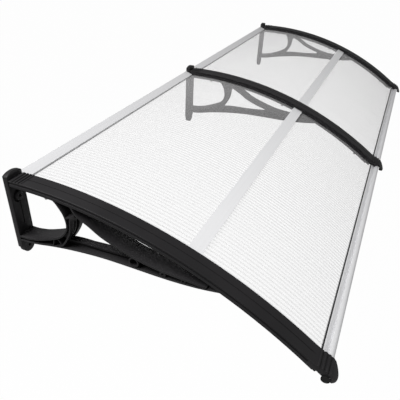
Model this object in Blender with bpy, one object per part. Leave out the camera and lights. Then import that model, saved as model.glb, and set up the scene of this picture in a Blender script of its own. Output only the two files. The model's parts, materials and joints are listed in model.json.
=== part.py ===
# Arched door canopy: twin-wall polycarbonate sheets on moulded wall brackets.
#
# X runs along the wall, the wall is the plane Y = 0 and the canopy reaches towards -Y. In the
# comments, "out" is the distance from the wall, "up" is the height, and the side view is (out, up).
# The origin is on the wall face of the middle bracket. All sizes are in metres.

import math

import bmesh
import bpy
from mathutils import Matrix

# Brackets along the wall
BRACKET_PITCH = 1.0
BRACKET_WIDTH = 0.0486

# Play between pieces that touch, how far a cutting tool runs past what it cuts, and the
# distance within which the corners that a Boolean leaves are welded
SEAT_GAP = 0.0003
CUT_CLEAR = 0.01
WELD_DISTANCE = 0.000002

# Arch shared by the sheets, the arms and the covers
SHEET_RADIUS = 1.1905
SHEET_THICKNESS = 0.005
ARCH_APEX_OUT = 0.039
ARCH_APEX_UP = 0.0795
CANOPY_REACH = 0.790
ARCH_FACETS = 6

# Twin-wall sheets, with their flutes running from the wall to the front
FLUTE_PITCH = 0.012
FLUTE_RIB = 0.0007
SKIN_THICKNESS = 0.0007
SHEET_SIDE_GAP = 0.001
SHEET_REAR_GAP = 0.0008

# Wall plate of a bracket
PLATE_THICKNESS = 0.0138
PLATE_TOP = 0.102
PLATE_BOTTOM = -0.0985
PLATE_CORNER = 0.005
CROWN_RISE = 0.006
CROWN_CHAMFER = 0.004
TAB_RADIUS = 0.018
TAB_DROP = 0.004
WALL_SCREW_HOLE = 0.008
UPPER_HOLE_UP = 0.044
BOSS_WIDTH = 0.016
BOSS_RISE = 0.002
MOAT_WIDTH = 0.006
MOAT_DEPTH = 0.0035
GROOVE_WIDTH = 0.003
GROOVE_DEPTH = 0.002
GROOVE_TOP = 0.025
GROOVE_LENGTH = 0.062

# Arm of a bracket: a saddle under the sheets, a spine between them and a rib below
SADDLE_WIDTH = 0.0325
SADDLE_THICKNESS = 0.0037
SPINE_WIDTH = 0.006
ARM_RIB_WIDTH = 0.005
ARM_RIB_DEPTH = 0.008

# Ring, brace and strut of a bracket
WEB_THICKNESS = 0.004
RING_CENTRE_OUT = 0.103
RING_CENTRE_UP = 0.025
RING_RADIUS = 0.062
RING_DEPTH = 0.0155
RING_FLANGE = 0.004
RING_RIB = 0.0025
RING_RIB_INSET = 0.0024
RING_STAYS = ((0.117, -72), (0.148, -62))
RING_FLOOR_UP = -0.061
STRUT_ROOT_UP = -0.074
STRUT_TIP_OUT = 0.5355
STRUT_FLANGE = 0.0044
STRUT_CAP_WIDTH = 0.018
STRUT_CAP_THICKNESS = 0.004
STRUT_CAP_ROOT_TURN = -52.6
BRACE_THICKNESS = 0.007
BRACE_ROOT_OUT = 0.195
STRUT_BOSSES = ((0.338, 0.0075), (0.408, 0.0045), (0.456, 0.0045))
STRUT_BOSS_INSET = 0.0012
OUTER_RING_FOOT_OUT = 0.120
ROOT_STEP = 0.0008

# Curves of the bracket, as shares of the way out and of the way up or down between their ends
STRUT_SWEEP = ((0.098, 0.111), (0.193, 0.332), (0.288, 0.513), (0.383, 0.643), (0.477, 0.722))
STRUT_RISE = ((0.563, 0.738), (0.659, 0.733), (0.75, 0.729), (0.839, 0.766), (0.924, 0.856), (1, 1))
BRACE_FALL = ((0, 0), (0.096, 0.266), (0.187, 0.476), (0.275, 0.616), (0.354, 0.717), (0.427, 0.803))
BRACE_LEVEL = ((0.5, 0.869), (0.574, 0.914), (0.641, 0.942), (0.779, 0.97), (0.919, 0.995))
STRUT_CAP_CURVE = ((0, 0), (0.212, 0.434), (0.585, 0.531), (1, 1))
APEX_CURVE = ((0, 0), (0.436, 0.632))

# Cover strip over an arm
COVER_HEIGHT = 0.0146
COVER_TOP_WALL = 0.0028
COVER_SIDE_WALL = 0.003
COVER_ROUNDING = 0.001
COVER_REAR_GAP = 0.003
CENTRE_GROOVE_WIDTH = 0.0026
CENTRE_GROOVE_DEPTH = 0.001
SIDE_RECESS_LOW = 0.0062
SIDE_RECESS_HEIGHT = 0.0055
SIDE_RECESS_DEPTH = 0.0023
SIDE_RECESS_CHAMFER = 0.0006
SIDE_RECESS_STEP = 0.001
GRIP_RIBS = 4
GRIP_RIB_WIDTH = 0.0045
GRIP_RIB_RISE = 0.0016
GRIP_RIB_INSET = 0.0008
GRIP_REAR_START = 0.0072
GRIP_REAR_PITCH = 0.0088
GRIP_FRONT_START = 0.0005
GRIP_FRONT_PITCH = 0.0093

# Nose that ends a cover and hooks over the front rail
NOSE_LENGTH = 0.032
NOSE_CREST_RISE = 0.0055
NOSE_PLAN_SAG = 0.011
NOSE_STEP = 0.0002
NOSE_LAP = 0.036
NOSE_HOOK = 0.0035
NOSE_FOOT_RISE = 0.0088
NOSE_LIP_RISE = 0.01
NOSE_LIP_SHARE = 0.92

# Side line of the nose, as shares of its length and of its crest's rise above the cover
NOSE_SWELL = ((-0.78, 0.11), (-0.47, 0.62), (-0.19, 0.93), (0.06, 1))
NOSE_FALL = ((0.33, 0.78), (0.64, 0.22), (0.86, -0.27), (0.98, -0.45))

# Front rail, a channel on the sheets' front edge with a tube along it
RAIL_TUBE_RADIUS = 0.007
RAIL_TUBE_WALL = 0.0016
RAIL_TUBE_AHEAD = 0.0054
RAIL_TUBE_RISE = 0.0093
RAIL_COVERAGE = 0.0125
RAIL_WALL = 0.0024
RAIL_FLANGE = 0.004
RAIL_CLEARANCE = 0.0012
RAIL_BEVEL = 0.002
RAIL_BEVEL_DROP = 0.0012
RAIL_CAP_RADIUS = 0.0095
RAIL_CAP_THICKNESS = 0.0024
RAIL_PLUG_LENGTH = 0.012
SEAL_WIDTH = 0.0024
SEAL_HEIGHT = 0.0022

# Rear rail, a sloped channel between the brackets that closes the sheets to the wall
REAR_RAIL_TOP_UP = 0.0912
REAR_RAIL_REACH = 0.0252
REAR_RAIL_WALL = 0.002
REAR_RAIL_LEDGE = 0.019

# Crossbar that holds the sheets down between two covers
CROSSBAR_OUT = 0.454
CROSSBAR_WIDTH = 0.032
CROSSBAR_THICKNESS = 0.004

# Screws that hold a cover to its arm, from below
COVER_SCREWS = 3
SCREW_REAR_OUT = 0.100
SCREW_FRONT_SETBACK = 0.0525
SCREW_POST_GAP = 0.001
SCREW_TIP_GAP = 0.002
SCREW_SHANK_RADIUS = 0.0018
SCREW_HOLE_RADIUS = 0.0022
SCREW_HEAD_RADIUS = 0.0038
SCREW_HEAD_HEIGHT = 0.0025
SCREW_LENGTH = 0.022
SCREW_POST_RADIUS = 0.0036
SCREW_BOSS_RADIUS = 0.0055

# Values that follow from those above
HALF_WIDTH = BRACKET_WIDTH / 2
ARCH_CENTRE_UP = ARCH_APEX_UP - SHEET_RADIUS
SHEET_UNDERSIDE = SHEET_RADIUS - SHEET_THICKNESS
SADDLE_TOP = SHEET_UNDERSIDE - SEAT_GAP
SADDLE_BOTTOM = SADDLE_TOP - SADDLE_THICKNESS
ARM_RIB_BOTTOM = SADDLE_BOTTOM - ARM_RIB_DEPTH
COVER_TOP = SHEET_RADIUS + SEAT_GAP + COVER_HEIGHT
COVER_LIP = SHEET_RADIUS + SEAT_GAP
COVER_CEILING = COVER_TOP - COVER_TOP_WALL
SPINE_TOP = COVER_CEILING - SEAT_GAP
SHEET_SIDE = SPINE_WIDTH / 2 + SHEET_SIDE_GAP
SHEET_REAR = PLATE_THICKNESS + SHEET_REAR_GAP
SHEET_FRONT = CANOPY_REACH - NOSE_LENGTH
COVER_REAR = PLATE_THICKNESS + COVER_REAR_GAP
RAIL_REAR = SHEET_FRONT - RAIL_COVERAGE
ARM_FRONT = RAIL_REAR - SEAL_WIDTH - SEAT_GAP
RAIL_TOP = COVER_LIP + RAIL_FLANGE
TAB_CENTRE_UP = PLATE_BOTTOM - TAB_DROP


def arch_angle(out, radius=SHEET_RADIUS):
    """Angle from the arch's highest point to the place on a radius that lies this far out."""
    return math.asin((out - ARCH_APEX_OUT) / radius)


FIRST_ANGLE = arch_angle(0.0)
FACET_ANGLE = (arch_angle(CANOPY_REACH) - FIRST_ANGLE) / ARCH_FACETS


def chord_factor(angle):
    """Shrinks a radius between two facet lines, so that every arched piece shares the same facets."""
    facet = min(max(int((angle - FIRST_ANGLE) / FACET_ANGLE + 1e-9), 0), ARCH_FACETS - 1)
    middle = FIRST_ANGLE + (facet + 0.5) * FACET_ANGLE
    return math.cos(FACET_ANGLE / 2) / math.cos(angle - middle)


def on_arch(radius, angle):
    """(out, up) of a point at this radius and angle."""
    reach = radius * chord_factor(angle)
    return ARCH_APEX_OUT + reach * math.sin(angle), ARCH_CENTRE_UP + reach * math.cos(angle)


def arch_stations(start, end):
    """Start and end angles with every facet line that lies between them."""
    lines = [FIRST_ANGLE + index * FACET_ANGLE for index in range(ARCH_FACETS + 1)]
    margin = 0.02 * FACET_ANGLE
    return [start] + [line for line in lines if start + margin < line < end - margin] + [end]


def arch_line(radius, start_out, end_out):
    """Facet points of the arch between two distances from the wall."""
    angles = arch_stations(arch_angle(start_out), arch_angle(end_out))
    return [on_arch(radius, angle) for angle in angles]


def arch_band(low, high, start_out, end_out):
    """Side outline of a strip that follows the arch between two radii."""
    return arch_line(low, start_out, end_out) + arch_line(high, start_out, end_out)[::-1]


FRONT_ANGLE = arch_angle(SHEET_FRONT)
FRONT_OUT, FRONT_UP = on_arch(SHEET_RADIUS, FRONT_ANGLE)


def at_front(along, above):
    """(out, up) of a point measured along and square to the sheet from its upper front edge."""
    sine, cosine = math.sin(FRONT_ANGLE), math.cos(FRONT_ANGLE)
    return FRONT_OUT + along * cosine + above * sine, FRONT_UP - along * sine + above * cosine


TUBE_OUT, TUBE_UP = at_front(RAIL_TUBE_AHEAD, RAIL_TUBE_RISE)


def circle_points(centre, radius, start, end, steps):
    """Points on an arc, with both ends. Angles are in degrees from straight out, turning up."""
    turns = [math.radians(start + (end - start) * index / steps) for index in range(steps + 1)]
    return [(centre[0] + radius * math.cos(t), centre[1] + radius * math.sin(t)) for t in turns]


def circle(centre, radius, steps):
    return circle_points(centre, radius, 0, 360, steps)[:-1]


def catmull_rom(before, start, end, after, t):
    """One coordinate of the curve between start and end."""
    square = 2 * before - 5 * start + 4 * end - after
    cube = 3 * start - before - 3 * end + after
    return 0.5 * (2 * start + (end - before) * t + square * t**2 + cube * t**3)


def smooth(points, steps=4):
    """Curve through the points."""
    padded = [points[0]] + list(points) + [points[-1]]
    line = []
    for corners in zip(padded, padded[1:], padded[2:], padded[3:]):
        for index in range(steps):
            line.append(tuple(catmull_rom(*values, index / steps) for values in zip(*corners)))
    return line + [points[-1]]


def spanned(start, end, shares):
    """Points between two ends, each at a share of the way out and a share of the way up or down."""
    (x0, y0), (x1, y1) = start, end
    return [(x0 + (x1 - x0) * out, y0 + (y1 - y0) * up) for out, up in shares]


def height_at(line, out):
    """Height of a line at this distance from the wall."""
    for (x0, y0), (x1, y1) in zip(line, line[1:]):
        if x0 <= out <= x1:
            return y0 + (y1 - y0) * (out - x0) / (x1 - x0)
    return line[-1][1]


def rib_outline(line, thickness):
    """Side outline of a rib of even thickness whose middle follows the line."""
    left, right = [], []
    for index, (x, y) in enumerate(line):
        x0, y0 = line[max(index - 1, 0)]
        x1, y1 = line[min(index + 1, len(line) - 1)]
        length = math.hypot(x1 - x0, y1 - y0)
        across = ((y0 - y1) / length * thickness / 2, (x1 - x0) / length * thickness / 2)
        left.append((x + across[0], y + across[1]))
        right.append((x - across[0], y - across[1]))
    return left + right[::-1]


# Scene, collections and helpers that turn outlines into solids

for old in list(bpy.data.objects):
    bpy.data.objects.remove(old)
canopy = bpy.data.collections.new("door_canopy")
helpers = bpy.data.collections.new("helpers")
for collection in (canopy, helpers):
    bpy.context.scene.collection.children.link(collection)
helpers.hide_render = True

# Local X, Y and Z of an outline's plane. Solids grow from it along -X, outwards, or downwards.
SIDE = Matrix(((0, 0, -1, 0), (-1, 0, 0, 0), (0, 1, 0, 0), (0, 0, 0, 1)))
FRONT = Matrix(((1, 0, 0, 0), (0, 0, -1, 0), (0, 1, 0, 0), (0, 0, 0, 1)))
PLAN = Matrix(((1, 0, 0, 0), (0, -1, 0, 0), (0, 0, -1, 0), (0, 0, 0, 1)))
ARCH_CENTRE = Matrix.Translation((0, -ARCH_APEX_OUT, ARCH_CENTRE_UP))


def grown(body, faces, matrix):
    """Extrudes the faces, moves the new ones by the matrix and gives them back."""
    edges = {edge for face in faces for edge in face.edges}
    corners = {corner for face in faces for corner in face.verts}
    new = bmesh.ops.extrude_face_region(body, geom=[*faces, *edges, *corners])["geom"]
    moved = [item for item in new if isinstance(item, bmesh.types.BMVert)]
    bmesh.ops.transform(body, verts=moved, matrix=matrix)
    return [item for item in new if isinstance(item, bmesh.types.BMFace)]


def finished(name, body):
    """Closes the work on a body and makes it an object."""
    bmesh.ops.recalc_face_normals(body, faces=body.faces)
    mesh = bpy.data.meshes.new(name)
    body.to_mesh(mesh)
    body.free()
    return placed(name, mesh)


def extruded(name, outline, plane, low, high):
    """Solid between two distances along the plane's own normal, from an outline in that plane."""
    body = bmesh.new()
    flat = body.faces.new([body.verts.new((x, y, low)) for x, y in outline])
    grown(body, [flat], Matrix.Translation((0, 0, high - low)))
    bmesh.ops.transform(body, verts=body.verts, matrix=plane)
    return finished(name, body)


def placed(name, mesh, collection=None):
    solid = bpy.data.objects.new(name, mesh)
    (collection or helpers).objects.link(solid)
    solid.display_type = "WIRE" if collection is None else "TEXTURED"
    return solid


def side_solid(name, outline, half_width):
    """Side outline made as wide as twice the half width, centred on the bracket."""
    return extruded(name, outline, SIDE, -half_width, half_width)


def drilled(angle, radius, low, high, steps):
    """Round bar along a radius of the arch, between two of the arch's own radii."""
    low, high = low * chord_factor(angle), high * chord_factor(angle)
    bar = bmesh.new()
    bmesh.ops.create_cone(
        bar, cap_ends=True, segments=steps, radius1=radius, radius2=radius, depth=high - low
    )
    bmesh.ops.translate(bar, verts=bar.verts, vec=(0, 0, (low + high) / 2))
    bmesh.ops.transform(bar, verts=bar.verts, matrix=ARCH_CENTRE @ Matrix.Rotation(angle, 4, "X"))
    return finished("bar", bar)


def combined(target, tool, operation):
    """Applies one Boolean to the target, welds its corners and removes the tool."""
    step = target.modifiers.new(operation.lower(), "BOOLEAN")
    step.operation = operation
    step.object = tool
    step.solver = "EXACT"
    weld = target.modifiers.new("weld", "WELD")
    weld.merge_threshold = WELD_DISTANCE
    bpy.context.view_layer.update()
    mesh = bpy.data.meshes.new_from_object(target.evaluated_get(bpy.context.evaluated_depsgraph_get()))
    target.modifiers.clear()
    target.data = mesh
    bpy.data.objects.remove(tool)
    return target


def joined(solids):
    whole = solids[0]
    for solid in solids[1:]:
        combined(whole, solid, "UNION")
    return whole


def cut(target, tools):
    for tool in tools:
        combined(target, tool, "DIFFERENCE")
    return target


def material(name, colour, roughness, metallic=0.0, alpha=1.0):
    made = bpy.data.materials.new(name)
    made.use_nodes = True
    shader = made.node_tree.nodes["Principled BSDF"]
    shader.inputs["Base Color"].default_value = (*colour, 1)
    shader.inputs["Roughness"].default_value = roughness
    shader.inputs["Metallic"].default_value = metallic
    shader.inputs["Alpha"].default_value = alpha
    made.diffuse_color = (*colour, alpha)
    return made


def node(name, mesh, finish, along=0.0):
    """Visible part at its place along the wall, with its own copy of the finish."""
    part = placed(name, mesh.copy(), canopy)
    part.location.x = along
    own = finish.copy()
    own.name = name + "_finish"
    part.data.materials.clear()
    part.data.materials.append(own)
    part.data.shade_smooth()
    part.data.set_sharp_from_angle(angle=math.radians(30))
    return part


black_moulding = material("black_moulding", (0.018, 0.018, 0.019), 0.45)
clear_sheet = material("clear_sheet", (0.86, 0.87, 0.88), 0.2, alpha=0.6)
milled_aluminium = material("milled_aluminium", (0.72, 0.72, 0.74), 0.35, metallic=0.9)
black_rubber = material("black_rubber", (0.02, 0.02, 0.02), 0.7)
screw_steel = material("screw_steel", (0.5, 0.5, 0.52), 0.35, metallic=1.0)


# Bracket

RING_CENTRE = (RING_CENTRE_OUT, RING_CENTRE_UP)
ARM_MIDDLE = (SADDLE_TOP + SADDLE_BOTTOM) / 2
INNER_RING = RING_RADIUS + RING_FLANGE / 2
OUTER_RING = RING_RADIUS + RING_DEPTH - RING_FLANGE / 2
ROOT_OUT = 0.6 * PLATE_THICKNESS


def on_ring(radius, turn):
    """Point round the ring's centre, its turn in degrees from straight out."""
    return circle_points(RING_CENTRE, radius, turn, turn, 1)[0]


def ring_line(top):
    """Middle of the ring's inner flange: the floor from the plate, then round and up to a radius."""
    floor_drop = RING_CENTRE_UP - (RING_FLOOR_UP - RING_FLANGE / 2)
    distance = math.hypot(RING_CENTRE_OUT - ROOT_OUT, floor_drop)
    slope = math.degrees(math.atan2(floor_drop, RING_CENTRE_OUT - ROOT_OUT))
    touch = 180 + slope + math.degrees(math.acos(INNER_RING / distance)) - 360
    across, below = RING_CENTRE_OUT - ARCH_APEX_OUT, RING_CENTRE_UP - ARCH_CENTRE_UP
    reach = math.hypot(across, below)
    opening = (top**2 - reach**2 - INNER_RING**2) / (2 * reach * INNER_RING)
    crown = math.degrees(math.atan2(below, across) - math.acos(opening))
    round_part = circle_points(RING_CENTRE, INNER_RING, touch, crown, 14)
    return [(ROOT_OUT, RING_FLOOR_UP - RING_FLANGE / 2)] + round_part


def strut_tip():
    """Place where the strut meets the cover's lower edge."""
    return on_arch(COVER_LIP, arch_angle(STRUT_TIP_OUT))


def strut_line():
    """Middle of the strut's bottom flange, from the plate to the arm."""
    root = (ROOT_OUT, STRUT_ROOT_UP + STRUT_FLANGE / 2)
    return smooth([root] + spanned(root, strut_tip(), STRUT_SWEEP + STRUT_RISE), 2)


def brace_line():
    """Middle of the brace, from the arm's underside down along the strut and back to the arm."""
    leave = on_arch(ARM_MIDDLE, arch_angle(BRACE_ROOT_OUT))
    return spanned(leave, strut_tip(), BRACE_FALL + BRACE_LEVEL)


def outer_ring_line():
    """Middle of the ring's outer flange, from the brace's root round to the strut."""
    root = on_arch(ARM_MIDDLE, arch_angle(BRACE_ROOT_OUT))
    round_part = circle_points(RING_CENTRE, OUTER_RING, 4, -62, 7)
    foot = (OUTER_RING_FOOT_OUT, height_at(strut_line(), OUTER_RING_FOOT_OUT))
    return spanned(root, round_part[0], APEX_CURVE) + round_part + [foot]


def boss_centre(out):
    """Middle of the space between strut and brace."""
    return out, (height_at(strut_line(), out) + height_at(brace_line(), out)) / 2


def strut_cap_line():
    """Middle of the narrow flange along the strut's top, between the ring and the brace."""
    root = on_ring(RING_RADIUS + RING_DEPTH, STRUT_CAP_ROOT_TURN)
    return smooth(spanned(root, boss_centre(STRUT_BOSSES[0][0]), STRUT_CAP_CURVE), 2)


def between(line, start, end):
    """The part of a line that lies between two distances from the wall."""
    return [point for point in line if start < point[0] < end]


def bracket_webs():
    """Thin walls on the bracket's middle plane that close the spaces between the flanges."""
    strut, brace, cap = strut_line(), brace_line(), strut_cap_line()
    ring, outer = ring_line(ARM_MIDDLE), outer_ring_line()
    crown = arch_line(ARM_MIDDLE, ring[-1][0] + RING_FLANGE, outer[0][0])
    ring_cell = ring + crown + outer[1:] + between(strut, ROOT_OUT, outer[-1][0])[::-1] + strut[:1]
    cap_start, cap_end, brace_end = cap[0][0], cap[-1][0], brace[-1][0]
    strut_cell = cap + between(strut, cap_start - RING_DEPTH, cap_end)[::-1]
    tail_cell = cap[-1:] + between(brace, cap_end, STRUT_TIP_OUT) + between(strut, cap_end, brace_end)[::-1]
    cells = (ring_cell, strut_cell, tail_cell)
    return [side_solid("web", cell, WEB_THICKNESS / 2) for cell in cells]


def bracket_frame():
    """Full-width flanges of the ring, brace and strut, kept below the sheets."""
    half = HALF_WIDTH
    ribs = [
        side_solid("strut_flange", rib_outline(strut_line(), STRUT_FLANGE), half),
        side_solid("ring_inner", rib_outline(ring_line(COVER_LIP), RING_FLANGE), half),
        side_solid("ring_outer", rib_outline(outer_ring_line(), RING_FLANGE), half),
        side_solid("brace", rib_outline(brace_line(), BRACE_THICKNESS), half),
    ]
    ring_middle = (INNER_RING + OUTER_RING) / 2
    spine_rib = circle_points(RING_CENTRE, ring_middle, 22, -58, 6)
    ribs.append(side_solid("ring_rib", rib_outline(spine_rib, RING_RIB), half - RING_RIB_INSET))
    for out, radius in STRUT_BOSSES:
        ribs.append(side_solid("boss", circle(boss_centre(out), radius, 10), half - STRUT_BOSS_INSET))
    for out, turn in RING_STAYS:
        low = (out, height_at(strut_line(), out))
        high = on_ring(INNER_RING, turn)
        ribs.append(side_solid("stay", rib_outline([low, high], RING_RIB), half - STRUT_BOSS_INSET))
    frame = joined(ribs)
    frame_top = SADDLE_TOP - SADDLE_THICKNESS / 3
    sheet_space = arch_band(frame_top, COVER_TOP + 3 * CUT_CLEAR, ROOT_OUT, CANOPY_REACH)
    return cut(frame, [side_solid("sheet_space", sheet_space, BRACKET_WIDTH)])


def wall_plate():
    """Wall plate with a crowned top, a round tab below and its two screw holes."""
    half, corner = HALF_WIDTH, PLATE_CORNER
    crown_radius = (half**2 + CROWN_RISE**2) / (2 * CROWN_RISE)
    crown_turn = math.degrees(math.asin(half / crown_radius))
    crown_centre = (0, PLATE_TOP + CROWN_RISE - crown_radius)
    crown = circle_points(crown_centre, crown_radius, 90 - crown_turn, 90 + crown_turn, 6)
    tab_turn = math.degrees(math.asin((PLATE_BOTTOM - TAB_CENTRE_UP) / TAB_RADIUS))
    tab = circle_points((0, TAB_CENTRE_UP), TAB_RADIUS, 180 - tab_turn, 360 + tab_turn, 12)[1:-1]
    left = [(-half, PLATE_BOTTOM + corner), (-half + corner, PLATE_BOTTOM)]
    right = [(half - corner, PLATE_BOTTOM), (half, PLATE_BOTTOM + corner)]
    outline = crown + left + tab + right
    plate = extruded("wall_plate", outline, FRONT, 0, PLATE_THICKNESS)
    upper = (0, UPPER_HOLE_UP)
    boss_outline = circle(upper, BOSS_WIDTH / 2, 12)
    boss = extruded("boss", boss_outline, FRONT, PLATE_THICKNESS / 2, PLATE_THICKNESS + BOSS_RISE)
    moat_outline = circle(upper, BOSS_WIDTH / 2 + MOAT_WIDTH, 14)
    moat = extruded("moat", moat_outline, FRONT, PLATE_THICKNESS - MOAT_DEPTH, PLATE_THICKNESS * 2)
    groove_low, groove_high = GROOVE_TOP - GROOVE_LENGTH, GROOVE_TOP
    wide = GROOVE_WIDTH / 2
    groove_box = [(-wide, groove_low), (wide, groove_low), (wide, groove_high), (-wide, groove_high)]
    groove = extruded("groove", groove_box, FRONT, PLATE_THICKNESS - GROOVE_DEPTH, PLATE_THICKNESS * 2)
    cut(plate, [moat, groove])
    combined(plate, boss, "UNION")
    past, crown_top = CUT_CLEAR, PLATE_TOP + CROWN_RISE
    chamfer = [
        (PLATE_THICKNESS + past, crown_top - CROWN_CHAMFER - past),
        (PLATE_THICKNESS + past, crown_top + past),
        (PLATE_THICKNESS - CROWN_CHAMFER - past, crown_top + past),
    ]
    holes = [
        extruded("hole", circle(place, WALL_SCREW_HOLE / 2, 12), FRONT, -past, PLATE_THICKNESS * 2)
        for place in (upper, (0, TAB_CENTRE_UP))
    ]
    return cut(plate, holes + [side_solid("chamfer", chamfer, BRACKET_WIDTH)])


def screw_angles():
    """Places of the cover's screws on the arch, evenly apart."""
    first, last = SCREW_REAR_OUT, ARM_FRONT - SCREW_FRONT_SETBACK
    pitch = (last - first) / (COVER_SCREWS - 1)
    return [arch_angle(first + pitch * index) for index in range(COVER_SCREWS)]


def bracket_mesh():
    """One moulding: wall plate, ring, brace, strut and arm."""
    saddle = arch_band(SADDLE_BOTTOM, SADDLE_TOP, ROOT_OUT, ARM_FRONT)
    spine = arch_band(ARM_MIDDLE, SPINE_TOP, ROOT_OUT + ROOT_STEP, ARM_FRONT - SEAT_GAP)
    rib_top = ARM_MIDDLE + SADDLE_THICKNESS / 4
    rib = arch_band(ARM_RIB_BOTTOM, rib_top, ROOT_OUT + 2 * ROOT_STEP, ARM_FRONT - ARM_RIB_DEPTH)
    parts = [
        wall_plate(),
        bracket_frame(),
        *bracket_webs(),
        side_solid("strut_cap", rib_outline(strut_cap_line(), STRUT_CAP_THICKNESS), STRUT_CAP_WIDTH / 2),
        side_solid("saddle", saddle, SADDLE_WIDTH / 2),
        side_solid("spine", spine, SPINE_WIDTH / 2),
        side_solid("arm_rib", rib, ARM_RIB_WIDTH / 2),
    ]
    notches, holes = [], []
    for angle in screw_angles():
        parts.append(drilled(angle, SCREW_BOSS_RADIUS, ARM_RIB_BOTTOM, ARM_MIDDLE, 12))
        clear = SCREW_POST_RADIUS + SCREW_POST_GAP
        notches.append(drilled(angle, clear, SADDLE_TOP, COVER_TOP, 12))
        holes.append(drilled(angle, SCREW_HOLE_RADIUS, ARM_RIB_BOTTOM - CUT_CLEAR, COVER_TOP, 10))
    return cut(joined(parts), notches + holes).data


# Cover

def cover_section():
    """Half section of the cover as (across, height above the sheet), from the groove to the lip."""
    half, top = HALF_WIDTH, COVER_HEIGHT
    groove, depth = CENTRE_GROOVE_WIDTH / 2, CENTRE_GROOVE_DEPTH
    corner = circle_points((half - COVER_ROUNDING, top - COVER_ROUNDING), COVER_ROUNDING, 90, 0, 3)
    recess_low, bevel = SIDE_RECESS_LOW, SIDE_RECESS_CHAMFER
    recess_high = min(recess_low + SIDE_RECESS_HEIGHT, top - COVER_ROUNDING - bevel)
    wall = half - COVER_SIDE_WALL
    inner = wall - SIDE_RECESS_DEPTH
    outside = [(0, top - depth), (groove, top - depth), (groove, top)] + corner
    side = [
        (half, recess_high),
        (half - SIDE_RECESS_DEPTH, recess_high - bevel),
        (half - SIDE_RECESS_DEPTH, recess_low + bevel),
        (half, recess_low),
        (half, 0),
    ]
    inside = [
        (wall, 0),
        (wall, recess_low - SIDE_RECESS_STEP),
        (inner, recess_low),
        (inner, top - COVER_TOP_WALL),
        (0, top - COVER_TOP_WALL),
    ]
    return outside + side + inside


def swept(name, cells, start_out, end_out):
    """Sweeps a section along the arch, in the shared facets. Its cells are (across, radius) polygons."""
    body = bmesh.new()
    for cell in cells:
        body.faces.new([body.verts.new((x, 0, radius)) for x, radius in cell])
    bmesh.ops.remove_doubles(body, verts=body.verts, dist=1e-6)
    def station(angle):
        factor = chord_factor(angle)
        scale = Matrix.Diagonal((1, factor, factor, 1))
        return ARCH_CENTRE @ Matrix.Rotation(angle, 4, "X") @ scale

    angles = arch_stations(arch_angle(start_out), arch_angle(end_out))
    bmesh.ops.transform(body, verts=body.verts, matrix=station(angles[0]))
    front = list(body.faces)
    for before, after in zip(angles, angles[1:]):
        front = grown(body, front, station(after) @ station(before).inverted())
    return finished(name, body)


def nose_crest():
    """Top line of the nose, along and square to the sheet."""
    shares = NOSE_SWELL + NOSE_FALL
    return smooth([(t * NOSE_LENGTH, COVER_HEIGHT + rise * NOSE_CREST_RISE) for t, rise in shares], 2)


def nose_outline():
    """Side outline of the nose: it rises off the arch, rounds over the front rail and hooks down."""
    start = on_arch(COVER_TOP - 3 * NOSE_STEP, arch_angle(SHEET_FRONT - NOSE_LAP))
    top = [at_front(*point) for point in nose_crest()]
    hook = RAIL_TUBE_AHEAD + RAIL_TUBE_RADIUS + NOSE_HOOK
    foot = [at_front(NOSE_LIP_SHARE * NOSE_LENGTH, NOSE_LIP_RISE), at_front(hook, NOSE_FOOT_RISE)]
    back = arch_line(COVER_LIP + NOSE_STEP, SHEET_FRONT - NOSE_LAP, SHEET_FRONT + RAIL_TUBE_AHEAD)[::-1]
    return [start] + top + foot + back


def nose_cutters():
    """Space for the front rail, its tube and the open mouth under the tube."""
    reach = RAIL_TUBE_RADIUS + 2 * SEAT_GAP
    round_top = circle_points((TUBE_OUT, TUBE_UP), reach, 0, 180, 10)
    below = TUBE_UP - 5 * CUT_CLEAR
    mouth = round_top + [(TUBE_OUT - reach, below), (TUBE_OUT + reach, below)]
    low, ceiling = SADDLE_BOTTOM - 2 * CUT_CLEAR, RAIL_TOP + RAIL_CLEARANCE
    under = arch_band(low, ceiling, ARM_FRONT, SHEET_FRONT + RAIL_WALL + RAIL_CLEARANCE)
    return [side_solid("mouth", mouth, BRACKET_WIDTH), side_solid("rail_space", under, BRACKET_WIDTH)]


def grip_ribs():
    """Raised ribs across the cover's rear end and across its nose."""
    half, low, high = GRIP_RIB_WIDTH / 2, -COVER_TOP_WALL / 2, GRIP_RIB_RISE
    section = ((-half, low), (-half / 2, high), (half / 2, high), (half, low))
    outlines = []
    for index in range(GRIP_RIBS):
        angle = arch_angle(COVER_REAR + GRIP_REAR_START + GRIP_REAR_PITCH * index)
        outlines.append([on_arch(COVER_TOP + y, angle + x / COVER_TOP) for x, y in section])
        crest = nose_crest()
        along = crest[0][0] + GRIP_FRONT_START + GRIP_FRONT_PITCH * index
        top = height_at(crest, along)
        outlines.append([at_front(along + x, top + y) for x, y in section])
    return [side_solid("grip_rib", outline, HALF_WIDTH - GRIP_RIB_INSET) for outline in outlines]


def crossbar_span():
    return CROSSBAR_OUT - CROSSBAR_WIDTH / 2, CROSSBAR_OUT + CROSSBAR_WIDTH / 2


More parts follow.
